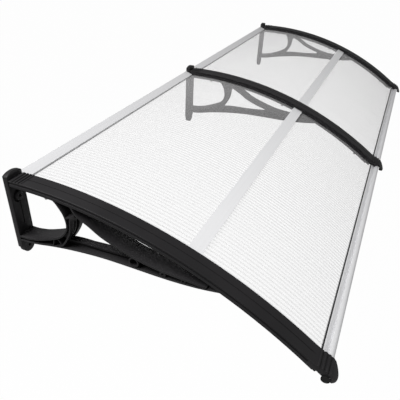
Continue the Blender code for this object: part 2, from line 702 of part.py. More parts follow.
def cover_mesh(sides):
    """One moulding: channel strip, grip ribs, nose, and a notch for the crossbar on each given side."""
    right = cover_section()
    loop = right + [(-x, y) for x, y in right[::-1] if x > 0]
    section = [(x, y + COVER_LIP) for x, y in loop]
    strip = swept("cover_strip", [section], COVER_REAR, SHEET_FRONT - NOSE_LAP / 3)
    nose = side_solid("nose", nose_outline(), HALF_WIDTH + NOSE_STEP)
    hollow_half = HALF_WIDTH - COVER_SIDE_WALL - SIDE_RECESS_DEPTH
    hollow = arch_band(SADDLE_BOTTOM, COVER_CEILING, COVER_REAR, ARM_FRONT + SEAT_GAP)
    cut(nose, [side_solid("hollow", hollow, hollow_half)])
    combined(strip, nose, "UNION")
    joined([strip, *grip_ribs()])
    for angle in screw_angles():
        post_top = COVER_TOP - COVER_TOP_WALL / 2
        post = drilled(angle, SCREW_POST_RADIUS, SADDLE_TOP + SEAT_GAP, post_top, 10)
        combined(strip, post, "UNION")
    cutters = nose_cutters()
    for angle in screw_angles():
        tip = ARM_RIB_BOTTOM + SCREW_LENGTH + SCREW_TIP_GAP
        cutters.append(drilled(angle, SCREW_SHANK_RADIUS + SEAT_GAP, SADDLE_BOTTOM, tip, 10))
    start, end = crossbar_span()
    bar = arch_band(
        SADDLE_BOTTOM, COVER_LIP + CROSSBAR_THICKNESS + SEAT_GAP, start - SEAT_GAP, end + SEAT_GAP
    )
    for side in sides:
        reach = (0.0, HALF_WIDTH * 1.5) if side > 0 else (-HALF_WIDTH * 1.5, 0.0)
        cutters.append(extruded("notch", bar, SIDE, -reach[1], -reach[0]))
    cut(strip, cutters)
    return combined(strip, nose_plan(), "INTERSECT").data


def nose_plan():
    """Plan of the cover: straight sides with a bowed front."""
    side_out = CANOPY_REACH - NOSE_PLAN_SAG
    radius = (HALF_WIDTH**2 + NOSE_PLAN_SAG**2) / (2 * NOSE_PLAN_SAG)
    turn = math.degrees(math.asin(HALF_WIDTH / radius))
    bow = circle_points((0, CANOPY_REACH - radius), radius, 90 - turn, 90 + turn, 8)
    clear = HALF_WIDTH + 2 * NOSE_STEP
    bow[0] = (clear, side_out)
    bow[-1] = (-clear, side_out)
    outline = bow + [(-clear, -CUT_CLEAR), (clear, -CUT_CLEAR)]
    return extruded("plan", outline, PLAN, -CANOPY_REACH, CANOPY_REACH)


# Sheets

def sheet_mesh():
    """Twin-wall sheet between two brackets, its left edge at X = 0 of the left bracket's spine."""
    left, right = SHEET_SIDE, BRACKET_PITCH - SHEET_SIDE
    low, high = SHEET_UNDERSIDE, SHEET_RADIUS
    floor, ceiling = low + SKIN_THICKNESS, high - SKIN_THICKNESS
    count = int((right - left - FLUTE_RIB) / FLUTE_PITCH)
    margin = (right - left - count * FLUTE_PITCH) / 2
    starts = [left + margin + index * FLUTE_PITCH + FLUTE_RIB / 2 for index in range(count)]
    sides = [side for start in starts for side in (start, start + FLUTE_PITCH - FLUTE_RIB)]
    upper_skin = [(left, high)] + [(x, ceiling) for x in sides] + [(right, high)]
    lower_skin = [(left, low)] + [(x, floor) for x in sides] + [(right, low)]
    cells = [upper_skin, lower_skin]
    cells.append([(left, low), (sides[0], floor), (sides[0], ceiling), (left, high)])
    cells.append([(right, low), (sides[-1], floor), (sides[-1], ceiling), (right, high)])
    for rib_left, rib_right in zip(sides[1::2], sides[2::2]):
        cells.append([(rib_left, floor), (rib_right, floor), (rib_right, ceiling), (rib_left, ceiling)])
    return swept("sheet", cells, SHEET_REAR, SHEET_FRONT).data


# Rails, crossbar and seals

def front_rail_joint():
    """Turns round the tube at which the channel's flange and the channel's front wall join it."""
    flange_turn = math.acos((SEAT_GAP + RAIL_FLANGE - RAIL_TUBE_RISE) / RAIL_TUBE_RADIUS)
    wall_turn = math.acos((RAIL_TUBE_AHEAD - SEAT_GAP - RAIL_WALL) / RAIL_TUBE_RADIUS)
    return 90 + math.degrees(flange_turn), 180 + math.degrees(wall_turn)


def front_rail_outline():
    """Channel over the sheet's front edge with a tube ahead of it."""
    gap, wall = SEAT_GAP, RAIL_WALL
    rear, flange_top = -RAIL_COVERAGE, gap + RAIL_FLANGE
    low = -SHEET_THICKNESS - gap
    centre = (RAIL_TUBE_AHEAD, RAIL_TUBE_RISE)
    flange_turn, wall_turn = front_rail_joint()
    tube = circle_points(centre, RAIL_TUBE_RADIUS, flange_turn, wall_turn - 360, 18)
    inner_rear = rear + RAIL_BEVEL
    outer = [(rear, gap), (rear, flange_top - RAIL_BEVEL_DROP), (inner_rear, flange_top)]
    outer += tube
    outer += [(gap + wall, low - wall), (inner_rear, low - wall), (inner_rear, low)]
    outer += [(gap, low), (gap, gap)]
    return [at_front(*point) for point in outer]


def front_rail_mesh(side):
    """Rail over one sheet, its channel cut back at the outer end so that only the tube runs on."""
    near, far = side * SEAT_GAP, side * (BRACKET_PITCH + HALF_WIDTH)
    low, high = min(near, far), max(near, far)
    rail = along_wall("front_rail", front_rail_outline(), low, high)
    bore = circle((TUBE_OUT, TUBE_UP), RAIL_TUBE_RADIUS - RAIL_TUBE_WALL, 14)
    centre = (RAIL_TUBE_AHEAD, RAIL_TUBE_RISE)
    joint = circle_points(centre, RAIL_TUBE_RADIUS, *front_rail_joint(), 2)
    rear, below = -RAIL_COVERAGE - CUT_CLEAR, -SHEET_THICKNESS - CUT_CLEAR
    around = [(RAIL_TUBE_AHEAD, below), (rear, below), (rear, RAIL_TUBE_RISE)]
    channel = [at_front(*point) for point in joint + around]
    edge = side * (BRACKET_PITCH - SHEET_SIDE + SEAT_GAP)
    past = far + side * CUT_CLEAR
    tools = [
        along_wall("bore", bore, low - CUT_CLEAR, high + CUT_CLEAR),
        along_wall("channel_end", channel, min(edge, past), max(edge, past)),
    ]
    return cut(rail, tools).data


def rear_rail_outline():
    """Sloped cover strip, wall leg and ledge under the sheet's rear edge."""
    wall, reach, top = REAR_RAIL_WALL, REAR_RAIL_REACH, REAR_RAIL_TOP_UP
    over = on_arch(SHEET_RADIUS + SEAT_GAP, arch_angle(reach))[1]
    ledge = REAR_RAIL_LEDGE
    under = on_arch(SHEET_UNDERSIDE - SEAT_GAP, arch_angle(PLATE_THICKNESS))[1]
    lip_top = over + wall * 1.5
    return [
        (0, top),
        (reach, lip_top),
        (reach, over),
        (reach - wall, over),
        (reach - wall, lip_top - wall),
        (wall, top - wall * 1.3),
        (wall, under),
        (ledge, under),
        (ledge, under - wall),
        (0, under - wall),
    ]


def crossbar_outline():
    start, end = crossbar_span()
    return arch_band(COVER_LIP, COVER_LIP + CROSSBAR_THICKNESS, start, end)


def front_seal_outline():
    rear = -RAIL_COVERAGE - SEAT_GAP
    low, high = SEAT_GAP, SEAT_GAP + SEAL_HEIGHT
    corners = [(rear - SEAL_WIDTH, low), (rear, low), (rear, high), (rear - SEAL_WIDTH * 0.6, high)]
    return [at_front(*point) for point in corners]


def along_wall(name, outline, low, high):
    """Side outline drawn out along X between two places."""
    return extruded(name, outline, SIDE, -high, -low)


def rail_cap_mesh(side):
    """Plug with a round flange that closes the tube at one end of the canopy."""
    inner = side * (BRACKET_PITCH + HALF_WIDTH + NOSE_STEP + SEAT_GAP)
    outer = inner + side * RAIL_CAP_THICKNESS
    tip = inner - side * RAIL_PLUG_LENGTH
    centre = (TUBE_OUT, TUBE_UP)
    flange = along_wall("cap", circle(centre, RAIL_CAP_RADIUS, 18), min(outer, inner), max(outer, inner))
    bore = RAIL_TUBE_RADIUS - RAIL_TUBE_WALL - SEAT_GAP
    start = (inner + outer) / 2
    plug = along_wall("plug", circle(centre, bore, 14), min(start, tip), max(start, tip))
    return combined(flange, plug, "UNION").data


def screw_mesh(angle):
    """Pan-head screw pointing up along a radius of the arch."""
    seat = ARM_RIB_BOTTOM - SEAT_GAP
    head = drilled(angle, SCREW_HEAD_RADIUS, seat - SCREW_HEAD_HEIGHT, seat, 10)
    shank_low = seat - SCREW_HEAD_HEIGHT / 2
    shank = drilled(angle, SCREW_SHANK_RADIUS, shank_low, seat + SCREW_LENGTH, 8)
    return combined(head, shank, "UNION").data


# Build every node

PLACES = (("left", -BRACKET_PITCH, (1,)), ("middle", 0.0, (-1, 1)), ("right", BRACKET_PITCH, (-1,)))

bracket = bracket_mesh()
for place, along, notch_sides in PLACES:
    node("bracket_" + place, bracket, black_moulding, along)
    node("cover_" + place, cover_mesh(notch_sides), black_moulding, along)
    for number, turn in enumerate(screw_angles(), 1):
        node(f"cover_screw_{place}_{number}", screw_mesh(turn), screw_steel, along)

sheet = sheet_mesh()
bar_end = SHEET_SIDE
for place, start in (("left", -BRACKET_PITCH), ("right", 0.0)):
    node("sheet_" + place, sheet, clear_sheet, start)
    bar_mesh = along_wall("crossbar", crossbar_outline(), bar_end, BRACKET_PITCH - bar_end).data
    node("crossbar_" + place, bar_mesh, milled_aluminium, start)
    rear_low, rear_high = HALF_WIDTH + SEAT_GAP, BRACKET_PITCH - HALF_WIDTH - SEAT_GAP
    rear_mesh = along_wall("rear_rail", rear_rail_outline(), rear_low, rear_high).data
    node("rear_rail_" + place, rear_mesh, milled_aluminium, start)
    seal_mesh = along_wall("front_seal", front_seal_outline(), bar_end, BRACKET_PITCH - bar_end).data
    node("front_seal_" + place, seal_mesh, black_rubber, start)
    side = -1 if place == "left" else 1
    node("front_rail_" + place, front_rail_mesh(side), milled_aluminium)
    node("rail_cap_" + place, rail_cap_mesh(side), black_moulding)
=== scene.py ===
import json
import math

import bmesh
import bpy
from mathutils import Matrix, Vector

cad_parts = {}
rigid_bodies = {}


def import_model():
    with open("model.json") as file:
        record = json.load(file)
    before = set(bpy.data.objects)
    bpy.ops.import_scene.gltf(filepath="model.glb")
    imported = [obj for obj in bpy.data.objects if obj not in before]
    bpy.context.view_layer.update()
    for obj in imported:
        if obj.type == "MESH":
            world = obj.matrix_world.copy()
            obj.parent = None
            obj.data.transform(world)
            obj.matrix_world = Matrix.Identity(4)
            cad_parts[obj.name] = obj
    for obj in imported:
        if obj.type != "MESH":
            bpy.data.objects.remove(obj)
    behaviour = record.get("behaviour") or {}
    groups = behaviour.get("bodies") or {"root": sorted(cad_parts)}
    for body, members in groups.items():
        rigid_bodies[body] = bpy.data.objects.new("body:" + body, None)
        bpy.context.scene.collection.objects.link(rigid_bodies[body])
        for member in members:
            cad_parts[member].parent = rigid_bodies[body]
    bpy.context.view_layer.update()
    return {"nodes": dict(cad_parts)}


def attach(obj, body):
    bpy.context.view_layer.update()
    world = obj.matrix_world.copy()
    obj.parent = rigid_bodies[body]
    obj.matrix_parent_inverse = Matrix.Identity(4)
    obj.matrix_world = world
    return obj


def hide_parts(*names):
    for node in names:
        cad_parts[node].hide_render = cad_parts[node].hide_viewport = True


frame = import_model()
print("frame loaded:", len(frame["nodes"]), "nodes")

# The canopy's arch, in the side view: out from the wall, and up
arch = {
    "centreOut": 0.039,
    "centreUp": -1.111,
    "sheetTop": 1.1905,  # radius
    "sheetThickness": 0.005,
    "sheetFront": 0.758,  # out, as the next one
    "armFront": 0.7428,
    "saddleThickness": 0.0037,
    "armRibHeight": 0.008,
    "coverHeight": 0.0146,
    "seat": 0.0003,  # play between pieces that touch
    "stepAngle": math.radians(1.1),
}
places = {"left": -1.0, "middle": 0.0, "right": 1.0}  # brackets along X
sheetSides = {"left": (1,), "middle": (-1, 1), "right": (-1,)}  # of a bracket, with a sheet
halfWidth = 0.0243  # of a bracket and its cover
plateDepth = 0.0138
beyond = 0.05  # how far a cutter runs past what it cuts
past = 0.01  # the same, where there is less room
allFront = 0.79  # out, in front of every piece
seat = arch["seat"]
sheetFront, armFront = arch["sheetFront"], arch["armFront"]
saddleTop = arch["sheetTop"] - arch["sheetThickness"] - seat
saddleBottom = saddleTop - arch["saddleThickness"]
armMiddle = (saddleTop + saddleBottom) / 2
armRibBottom = saddleBottom - arch["armRibHeight"]
coverLip = arch["sheetTop"] + seat
coverTop = coverLip + arch["coverHeight"]


def archAngle(out):
    return math.asin((out - arch["centreOut"]) / arch["sheetTop"])


def onArch(radius, angle):
    return arch["centreOut"] + radius * math.sin(angle), arch["centreUp"] + radius * math.cos(angle)


def archLine(radius, startOut, endOut):
    start, end = archAngle(startOut), archAngle(endOut)
    steps = max(1, math.ceil((end - start) / arch["stepAngle"]))
    return [onArch(radius, start + (end - start) * i / steps) for i in range(steps + 1)]


def archBand(low, high, startOut, endOut):
    return archLine(low, startOut, endOut) + archLine(high, startOut, endOut)[::-1]


frontAngle = archAngle(sheetFront)
frontEdge = onArch(arch["sheetTop"], frontAngle)


def atFront(along, above):
    # along the sheet and square to it, from its upper front edge
    sine, cosine = math.sin(frontAngle), math.cos(frontAngle)
    out, up = frontEdge
    return out + along * cosine + above * sine, up - along * sine + above * cosine


def circlePoints(centre, radius, start, end, steps):
    turns = [math.radians(start + (end - start) * i / steps) for i in range(steps + 1)]
    return [(centre[0] + radius * math.cos(t), centre[1] + radius * math.sin(t)) for t in turns]


def circle(centre, radius, steps):
    return circlePoints(centre, radius, 0, 360, steps)[:-1]


def between(before, start, end, after, t):
    square = 2 * before - 5 * start + 4 * end - after
    cube = 3 * start - before - 3 * end + after
    return 0.5 * (2 * start + (end - before) * t + square * t**2 + cube * t**3)


def smooth(points, steps):
    padded = [points[0]] + list(points) + [points[-1]]
    line = []
    for corners in zip(padded, padded[1:], padded[2:], padded[3:]):
        for i in range(steps):
            line.append(tuple(between(*values, i / steps) for values in zip(*corners)))
    return line + [points[-1]]


def spanned(start, end, shares):
    # points between two ends, by shares of the way out and of the way up or down
    (x0, y0), (x1, y1) = start, end
    return [(x0 + (x1 - x0) * out, y0 + (y1 - y0) * up) for out, up in shares]


def heightAt(line, out):
    for (x0, y0), (x1, y1) in zip(line, line[1:]):
        if x0 <= out <= x1:
            return y0 + (y1 - y0) * (out - x0) / (x1 - x0)
    return line[-1][1]


def ribOutline(line, thickness):
    left, right = [], []
    for i, (x, y) in enumerate(line):
        x0, y0 = line[max(i - 1, 0)]
        x1, y1 = line[min(i + 1, len(line) - 1)]
        length = math.hypot(x1 - x0, y1 - y0)
        across = ((y0 - y1) / length * thickness / 2, (x1 - x0) / length * thickness / 2)
        left.append((x + across[0], y + across[1]))
        right.append((x - across[0], y - across[1]))
    return left + right[::-1]


# Solids from outlines

workshop = bpy.data.collections.new("workshop")
bpy.context.scene.collection.children.link(workshop)
sidePlane = Matrix(((0, 0, -1, 0), (-1, 0, 0, 0), (0, 1, 0, 0), (0, 0, 0, 1)))
frontPlane = Matrix(((1, 0, 0, 0), (0, 0, -1, 0), (0, 1, 0, 0), (0, 0, 0, 1)))
planPlane = Matrix(((1, 0, 0, 0), (0, -1, 0, 0), (0, 0, -1, 0), (0, 0, 0, 1)))
archCentre = Matrix.Translation((0, -arch["centreOut"], arch["centreUp"]))


def placed(name, mesh):
    solid = bpy.data.objects.new(name, mesh)
    workshop.objects.link(solid)
    return solid


def finished(name, body):
    bmesh.ops.recalc_face_normals(body, faces=body.faces)
    mesh = bpy.data.meshes.new(name)
    body.to_mesh(mesh)
    body.free()
    return placed(name, mesh)


def grown(body, faces, matrix):
    # each edge and corner once, in the same order at each run
    edges = dict.fromkeys(edge for face in faces for edge in face.edges)
    corners = dict.fromkeys(corner for face in faces for corner in face.verts)
    new = bmesh.ops.extrude_face_region(body, geom=[*faces, *edges, *corners])["geom"]
    moved = [item for item in new if isinstance(item, bmesh.types.BMVert)]
    bmesh.ops.transform(body, verts=moved, matrix=matrix)
    return [item for item in new if isinstance(item, bmesh.types.BMFace)]


def extruded(name, outline, plane, low, high, edge=0.0):
    # edge is the rounding of the corners round both ends
    body = bmesh.new()
    flat = body.faces.new([body.verts.new((x, y, low)) for x, y in outline])
    rim = list(flat.edges)
    front = grown(body, [flat], Matrix.Translation((0, 0, high - low)))
    rim += list(front[0].edges)
    bmesh.ops.recalc_face_normals(body, faces=body.faces)
    if edge:
        bmesh.ops.bevel(
            body, geom=rim, offset=edge, offset_type="OFFSET", segments=2, profile=0.5,
            affect="EDGES", clamp_overlap=True,
        )
    bmesh.ops.transform(body, verts=body.verts, matrix=plane)
    return finished(name, body)


def sideSolid(name, outline, half, edge=0.0):
    return extruded(name, outline, sidePlane, -half, half, edge)


def sideHalf(name, outline, side):
    # from the middle plane to past one side; the side plane looks along -X
    return extruded(name, outline, sidePlane, *sorted((0, -side * beyond)))


def standing(angle, radius, low, high, steps):
    # round bar along a radius of the arch
    bar = bmesh.new()
    size = {"radius1": radius, "radius2": radius, "depth": high - low}
    bmesh.ops.create_cone(bar, cap_ends=True, segments=steps, **size)
    bmesh.ops.translate(bar, verts=bar.verts, vec=(0, 0, (low + high) / 2))
    bmesh.ops.transform(bar, verts=bar.verts, matrix=archCentre @ Matrix.Rotation(angle, 4, "X"))
    return finished("bar", bar)


def swept(name, section, startOut, endOut):
    body = bmesh.new()
    face = body.faces.new([body.verts.new((x, 0, radius)) for x, radius in section])
    start, end = archAngle(startOut), archAngle(endOut)
    steps = math.ceil((end - start) / arch["stepAngle"])
    turn = archCentre @ Matrix.Rotation((end - start) / steps, 4, "X") @ archCentre.inverted()
    bmesh.ops.transform(body, verts=body.verts, matrix=archCentre @ Matrix.Rotation(start, 4, "X"))
    front = [face]
    for _ in range(steps):
        front = grown(body, front, turn)
    return finished(name, body)


def evaluatedMesh(solid):
    # the mesh with the modifiers' result in it
    bpy.context.view_layer.update()
    graph = bpy.context.evaluated_depsgraph_get()
    return bpy.data.meshes.new_from_object(solid.evaluated_get(graph))


def combined(target, tool, operation):
    step = target.modifiers.new(operation.lower(), "BOOLEAN")
    step.operation = operation
    step.object = tool
    step.solver = "EXACT"
    mesh = evaluatedMesh(target)
    target.modifiers.clear()
    target.data = mesh
    bpy.data.objects.remove(tool)
    return target


def joined(solids):
    for solid in solids[1:]:
        combined(solids[0], solid, "UNION")
    return solids[0]


def cut(target, tools):
    for tool in tools:
        combined(target, tool, "DIFFERENCE")
    return target


def plainMesh(solid):
    mesh = evaluatedMesh(solid)
    mesh.transform(solid.matrix_world)
    bpy.data.objects.remove(solid)
    return mesh


sharpTurn = math.radians(28)  # edges that turn more stay sharp


def inScene(name, content):
    made = bpy.data.objects.new(name, content)
    bpy.context.scene.collection.objects.link(made)
    return made


def piece(name, mesh, finish, nodes, along):
    # a finished piece, its mesh moved to its place along X
    shown = inScene(name, mesh)
    mesh.transform(Matrix.Translation((along, 0, 0)))
    mesh.materials.clear()
    mesh.materials.append(finish)
    for polygon in mesh.polygons:
        polygon.material_index = 0
    mesh.shade_smooth()
    mesh.set_sharp_from_angle(angle=sharpTurn)
    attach(shown, "root")
    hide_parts(*nodes)


# Node helpers and shared shader groups


def added(tree, kind, **values):
    node = tree.nodes.new(kind)
    for name, value in values.items():
        setattr(node, name, value)
    return node


def feed(tree, value, socket):
    # a number is written into the socket, another node's output is linked to it
    if isinstance(value, (int, float)):
        socket.default_value = value
    else:
        tree.links.new(value, socket)


def mathNode(tree, operation, *inputs):
    made = added(tree, "ShaderNodeMath", operation=operation)
    for socket, value in zip(made.inputs, inputs):
        feed(tree, value, socket)
    return made.outputs[0]


def vectorNode(tree, **parts):
    made = added(tree, "ShaderNodeCombineXYZ")
    for axis, value in parts.items():
        feed(tree, value, made.inputs[axis])
    return made.outputs[0]


def separated(tree, vector):
    made = added(tree, "ShaderNodeSeparateXYZ")
    tree.links.new(vector, made.inputs[0])
    return made.outputs


def noise(tree, coordinate, scale, detail):
    made = added(tree, "ShaderNodeTexNoise")
    feed(tree, scale, made.inputs["Scale"])
    feed(tree, detail, made.inputs["Detail"])
    tree.links.new(coordinate, made.inputs["Vector"])
    return made.outputs["Fac"]


def stretched(tree, scale):
    # Object coordinates, drawn out along an axis
    made = added(tree, "ShaderNodeMapping")
    made.inputs["Scale"].default_value = scale
    place = added(tree, "ShaderNodeTexCoord").outputs["Object"]
    tree.links.new(place, made.inputs["Vector"])
    return made.outputs["Vector"]


def mapped(tree, source, low, high, newLow, newHigh):
    ranged = added(tree, "ShaderNodeMapRange")
    labels = ("From Min", "From Max", "To Min", "To Max")
    for label, value in zip(labels, (low, high, newLow, newHigh)):
        ranged.inputs[label].default_value = value
    tree.links.new(source, ranged.inputs["Value"])
    return ranged.outputs["Result"]


noiseRange = (0.3, 0.7)  # what most of a noise's values lie between


def newGroup(name, inputs, outputs):
    group = bpy.data.node_groups.new(name, "ShaderNodeTree")
    newSocket = group.interface.new_socket
    for label, value in inputs.items():
        given = newSocket(label, in_out="INPUT", socket_type="NodeSocketFloat")
        given.default_value = value
    for label in outputs:
        newSocket(label, in_out="OUTPUT", socket_type="NodeSocketFloat")
    return group, group.nodes.new("NodeGroupInput"), group.nodes.new("NodeGroupOutput")


def mouldGrainGroup():
    # fine eroded texture of a moulded part, with a slow change of sheen
    inputs = {"Grain Scale": 900.0, "Flow Scale": 9.0}
    group, start, end = newGroup("mouldGrain", inputs, ("Height", "Sheen Mask"))
    place = added(group, "ShaderNodeTexCoord").outputs["Object"]
    grain = noise(group, place, start.outputs["Grain Scale"], 2)
    flow = noise(group, place, start.outputs["Flow Scale"], 3)
    group.links.new(grain, end.inputs["Height"])
    group.links.new(mapped(group, flow, *noiseRange, 0, 1), end.inputs["Sheen Mask"])
    return group


def drawnGrainGroup():
    # long fine lines along X, as on a drawn and anodised section
    group, start, end = newGroup("drawnGrain", {"Line Scale": 1.0}, ("Height", "Line Mask"))
    lines = noise(group, stretched(group, (4, 900, 900)), start.outputs["Line Scale"], 2)
    group.links.new(lines, end.inputs["Height"])
    group.links.new(mapped(group, lines, *noiseRange, 0, 1), end.inputs["Line Mask"])
    return group


mouldGrain = mouldGrainGroup()
drawnGrain = drawnGrainGroup()


def newMaterial(name, roughness, metallic=0.0):
    made = bpy.data.materials.new(name)
    made.use_nodes = True
    shader = made.node_tree.nodes["Principled BSDF"]
    shader.inputs["Roughness"].default_value = roughness
    shader.inputs["Metallic"].default_value = metallic
    return made, made.node_tree, shader


def blended(tree, mask, first, second, socket):
    # colour that goes from first to second with the mask
    ramp = added(tree, "ShaderNodeValToRGB")
    ramp.color_ramp.elements[0].color = (*first, 1)
    ramp.color_ramp.elements[1].color = (*second, 1)
    tree.links.new(mask, ramp.inputs["Fac"])
    tree.links.new(ramp.outputs["Color"], socket)


def bumped(tree, height, shader, strength, distance):
    bump = added(tree, "ShaderNodeBump")
    bump.inputs["Strength"].default_value = strength
    bump.inputs["Distance"].default_value = distance
    tree.links.new(height, bump.inputs["Height"])
    tree.links.new(bump.outputs["Normal"], shader.inputs["Normal"])


# How far the roughness goes down and up with the mask, and the bump's strength and depth
moulding = {"specular": 0.2, "smoother": 0.04, "rougher": 0.05, "bump": (0.1, 0.0002)}
drawing = {"smoother": 0.05, "rougher": 0.06, "bump": (0.1, 0.0001)}


def grained(tree, shader, grain, mask, colours, roughness, values):
    # colour, roughness and bump of a finish, from a group that gives a mask and a height
    blended(tree, grain.outputs[mask], *colours, shader.inputs["Base Color"])
    low, high = roughness - values["smoother"], roughness + values["rougher"]
    changed = mapped(tree, grain.outputs[mask], 0, 1, low, high)
    tree.links.new(changed, shader.inputs["Roughness"])
    bumped(tree, grain.outputs["Height"], shader, *values["bump"])


def mouldedPlastic(name, dark, light, roughness, grainScale=900.0):
    made, tree, shader = newMaterial(name, roughness)
    shader.inputs["Specular IOR Level"].default_value = moulding["specular"]
    grain = added(tree, "ShaderNodeGroup", node_tree=mouldGrain)
    grain.inputs["Grain Scale"].default_value = grainScale
    grained(tree, shader, grain, "Sheen Mask", (dark, light), roughness, moulding)
    return made


def anodised(name, dark, light, roughness, metallic):
    made, tree, shader = newMaterial(name, roughness, metallic)
    grain = added(tree, "ShaderNodeGroup", node_tree=drawnGrain)
    grained(tree, shader, grain, "Line Mask", (dark, light), roughness, drawing)
    return made


sheetLook = {
    "colour": (0.56, 0.555, 0.56),
    "roughness": 0.22,
    "haze": 0.020,
    "hazeChange": 0.001,
    "ribGain": 3.0,  # the ribs' walls look denser
    "flatLimit": 1.02,  # keeps the haze finite at the flattest angle
    "flatPower": 1.35,
    "lineScale": (160, 3, 3),
    "bump": (0.05, 0.0003),
}


def sheetPlastic():
    # milky clear plastic, whose haze changes a little along the flutes and grows at flat angles
    look = sheetLook
    made, tree, shader = newMaterial("twinWallPlastic", look["roughness"])
    lines = noise(tree, stretched(tree, look["lineScale"]), 1, 2)
    low, high = look["haze"] - look["hazeChange"], look["haze"] + look["hazeChange"]
    haze = mapped(tree, lines, *noiseRange, low, high)
    sideways = separated(tree, added(tree, "ShaderNodeNewGeometry").outputs["Normal"])["X"]
    onRib = mathNode(tree, "ABSOLUTE", sideways)
    gain = mathNode(tree, "MULTIPLY_ADD", onRib, look["ribGain"], 1.0)
    flatness = added(tree, "ShaderNodeLayerWeight").outputs["Facing"]
    facing = mathNode(tree, "SUBTRACT", look["flatLimit"], flatness)
    way = mathNode(tree, "POWER", facing, look["flatPower"])
    depth = mathNode(tree, "DIVIDE", mathNode(tree, "MULTIPLY", haze, gain), way)
    passed = mathNode(tree, "EXPONENT", mathNode(tree, "MULTIPLY", depth, -1.0))
    tree.links.new(mathNode(tree, "SUBTRACT", 1.0, passed), shader.inputs["Alpha"])
    shader.inputs["Base Color"].default_value = (*look["colour"], 1)
    bumped(tree, lines, shader, *look["bump"])
    return made


blackMoulding = mouldedPlastic(
    "blackMoulding", (0.0105, 0.0100, 0.0108), (0.0140, 0.0132, 0.0142), 0.5
)
capPlastic = mouldedPlastic("capPlastic", (0.003, 0.003, 0.003), (0.005, 0.005, 0.005), 0.55)
sealRubber = mouldedPlastic(
    "sealRubber", (0.008, 0.008, 0.008), (0.016, 0.016, 0.016), 0.75, 1500.0
)
twinWallPlastic = sheetPlastic()
anodisedSection = anodised("anodisedSection", (0.78, 0.78, 0.79), (0.82, 0.82, 0.83), 0.42, 0.25)
anodisedRear = anodised("anodisedRear", (0.63, 0.63, 0.64), (0.67, 0.67, 0.68), 0.42, 0.25)
anodisedTube = anodised("anodisedTube", (0.68, 0.68, 0.69), (0.72, 0.72, 0.73), 0.36, 0.35)
zincScrew = anodised("zincScrew", (0.48, 0.48, 0.47), (0.62, 0.62, 0.60), 0.3, 0.85)
print("finishes made")

# Geometry Nodes: pieces that stand on the arch, and the fluted sheet


def geometryTree(name, inputs):
    tree = bpy.data.node_groups.new(name, "GeometryNodeTree")
    newSocket = tree.interface.new_socket
    newSocket("Geometry", in_out="INPUT", socket_type="NodeSocketGeometry")
    sockets = {}
    for label, kind in inputs.items():
        given = newSocket(label, in_out="INPUT", socket_type="NodeSocket" + kind)
        sockets[label] = given.identifier
    newSocket("Geometry", in_out="OUTPUT", socket_type="NodeSocketGeometry")
    return tree, tree.nodes.new("NodeGroupInput"), tree.nodes.new("NodeGroupOutput"), sockets


def ended(tree, geometry, start, end):
    # every tree ends the same way
    real = added(tree, "GeometryNodeRealizeInstances")
    tree.links.new(geometry, real.inputs["Geometry"])
    painted = added(tree, "GeometryNodeSetMaterial")
    tree.links.new(real.outputs["Geometry"], painted.inputs["Geometry"])
    tree.links.new(start.outputs["Finish"], painted.inputs["Material"])
    tree.links.new(painted.outputs["Geometry"], end.inputs["Geometry"])


def grownBy(tree, sockets, base, values):
    step = base.modifiers.new(tree.name, "NODES")
    step.node_group = tree
    for label, value in values.items():
        step[sockets[label]] = value
    return plainMesh(base)


def standOnArchTree():
    # copies of one small piece on the points of a mesh, each turned square to the arch
    inputs = {"Piece": "Object", "Finish": "Material"}
    tree, start, end, sockets = geometryTree("standOnArch", inputs)
    spot = separated(tree, added(tree, "GeometryNodeInputPosition").outputs[0])
    out = mathNode(tree, "MULTIPLY_ADD", spot["Y"], -1.0, -arch["centreOut"])
    up = mathNode(tree, "SUBTRACT", spot["Z"], arch["centreUp"])
    turn = vectorNode(tree, X=mathNode(tree, "ARCTAN2", out, up))
    source = added(tree, "GeometryNodeObjectInfo")
    source.inputs["As Instance"].default_value = True
    tree.links.new(start.outputs["Piece"], source.inputs["Object"])
    copies = added(tree, "GeometryNodeInstanceOnPoints")
    tree.links.new(start.outputs["Geometry"], copies.inputs["Points"])
    tree.links.new(source.outputs["Geometry"], copies.inputs["Instance"])
    tree.links.new(turn, copies.inputs["Rotation"])
    ended(tree, copies.outputs["Instances"], start, end)
    return tree, sockets


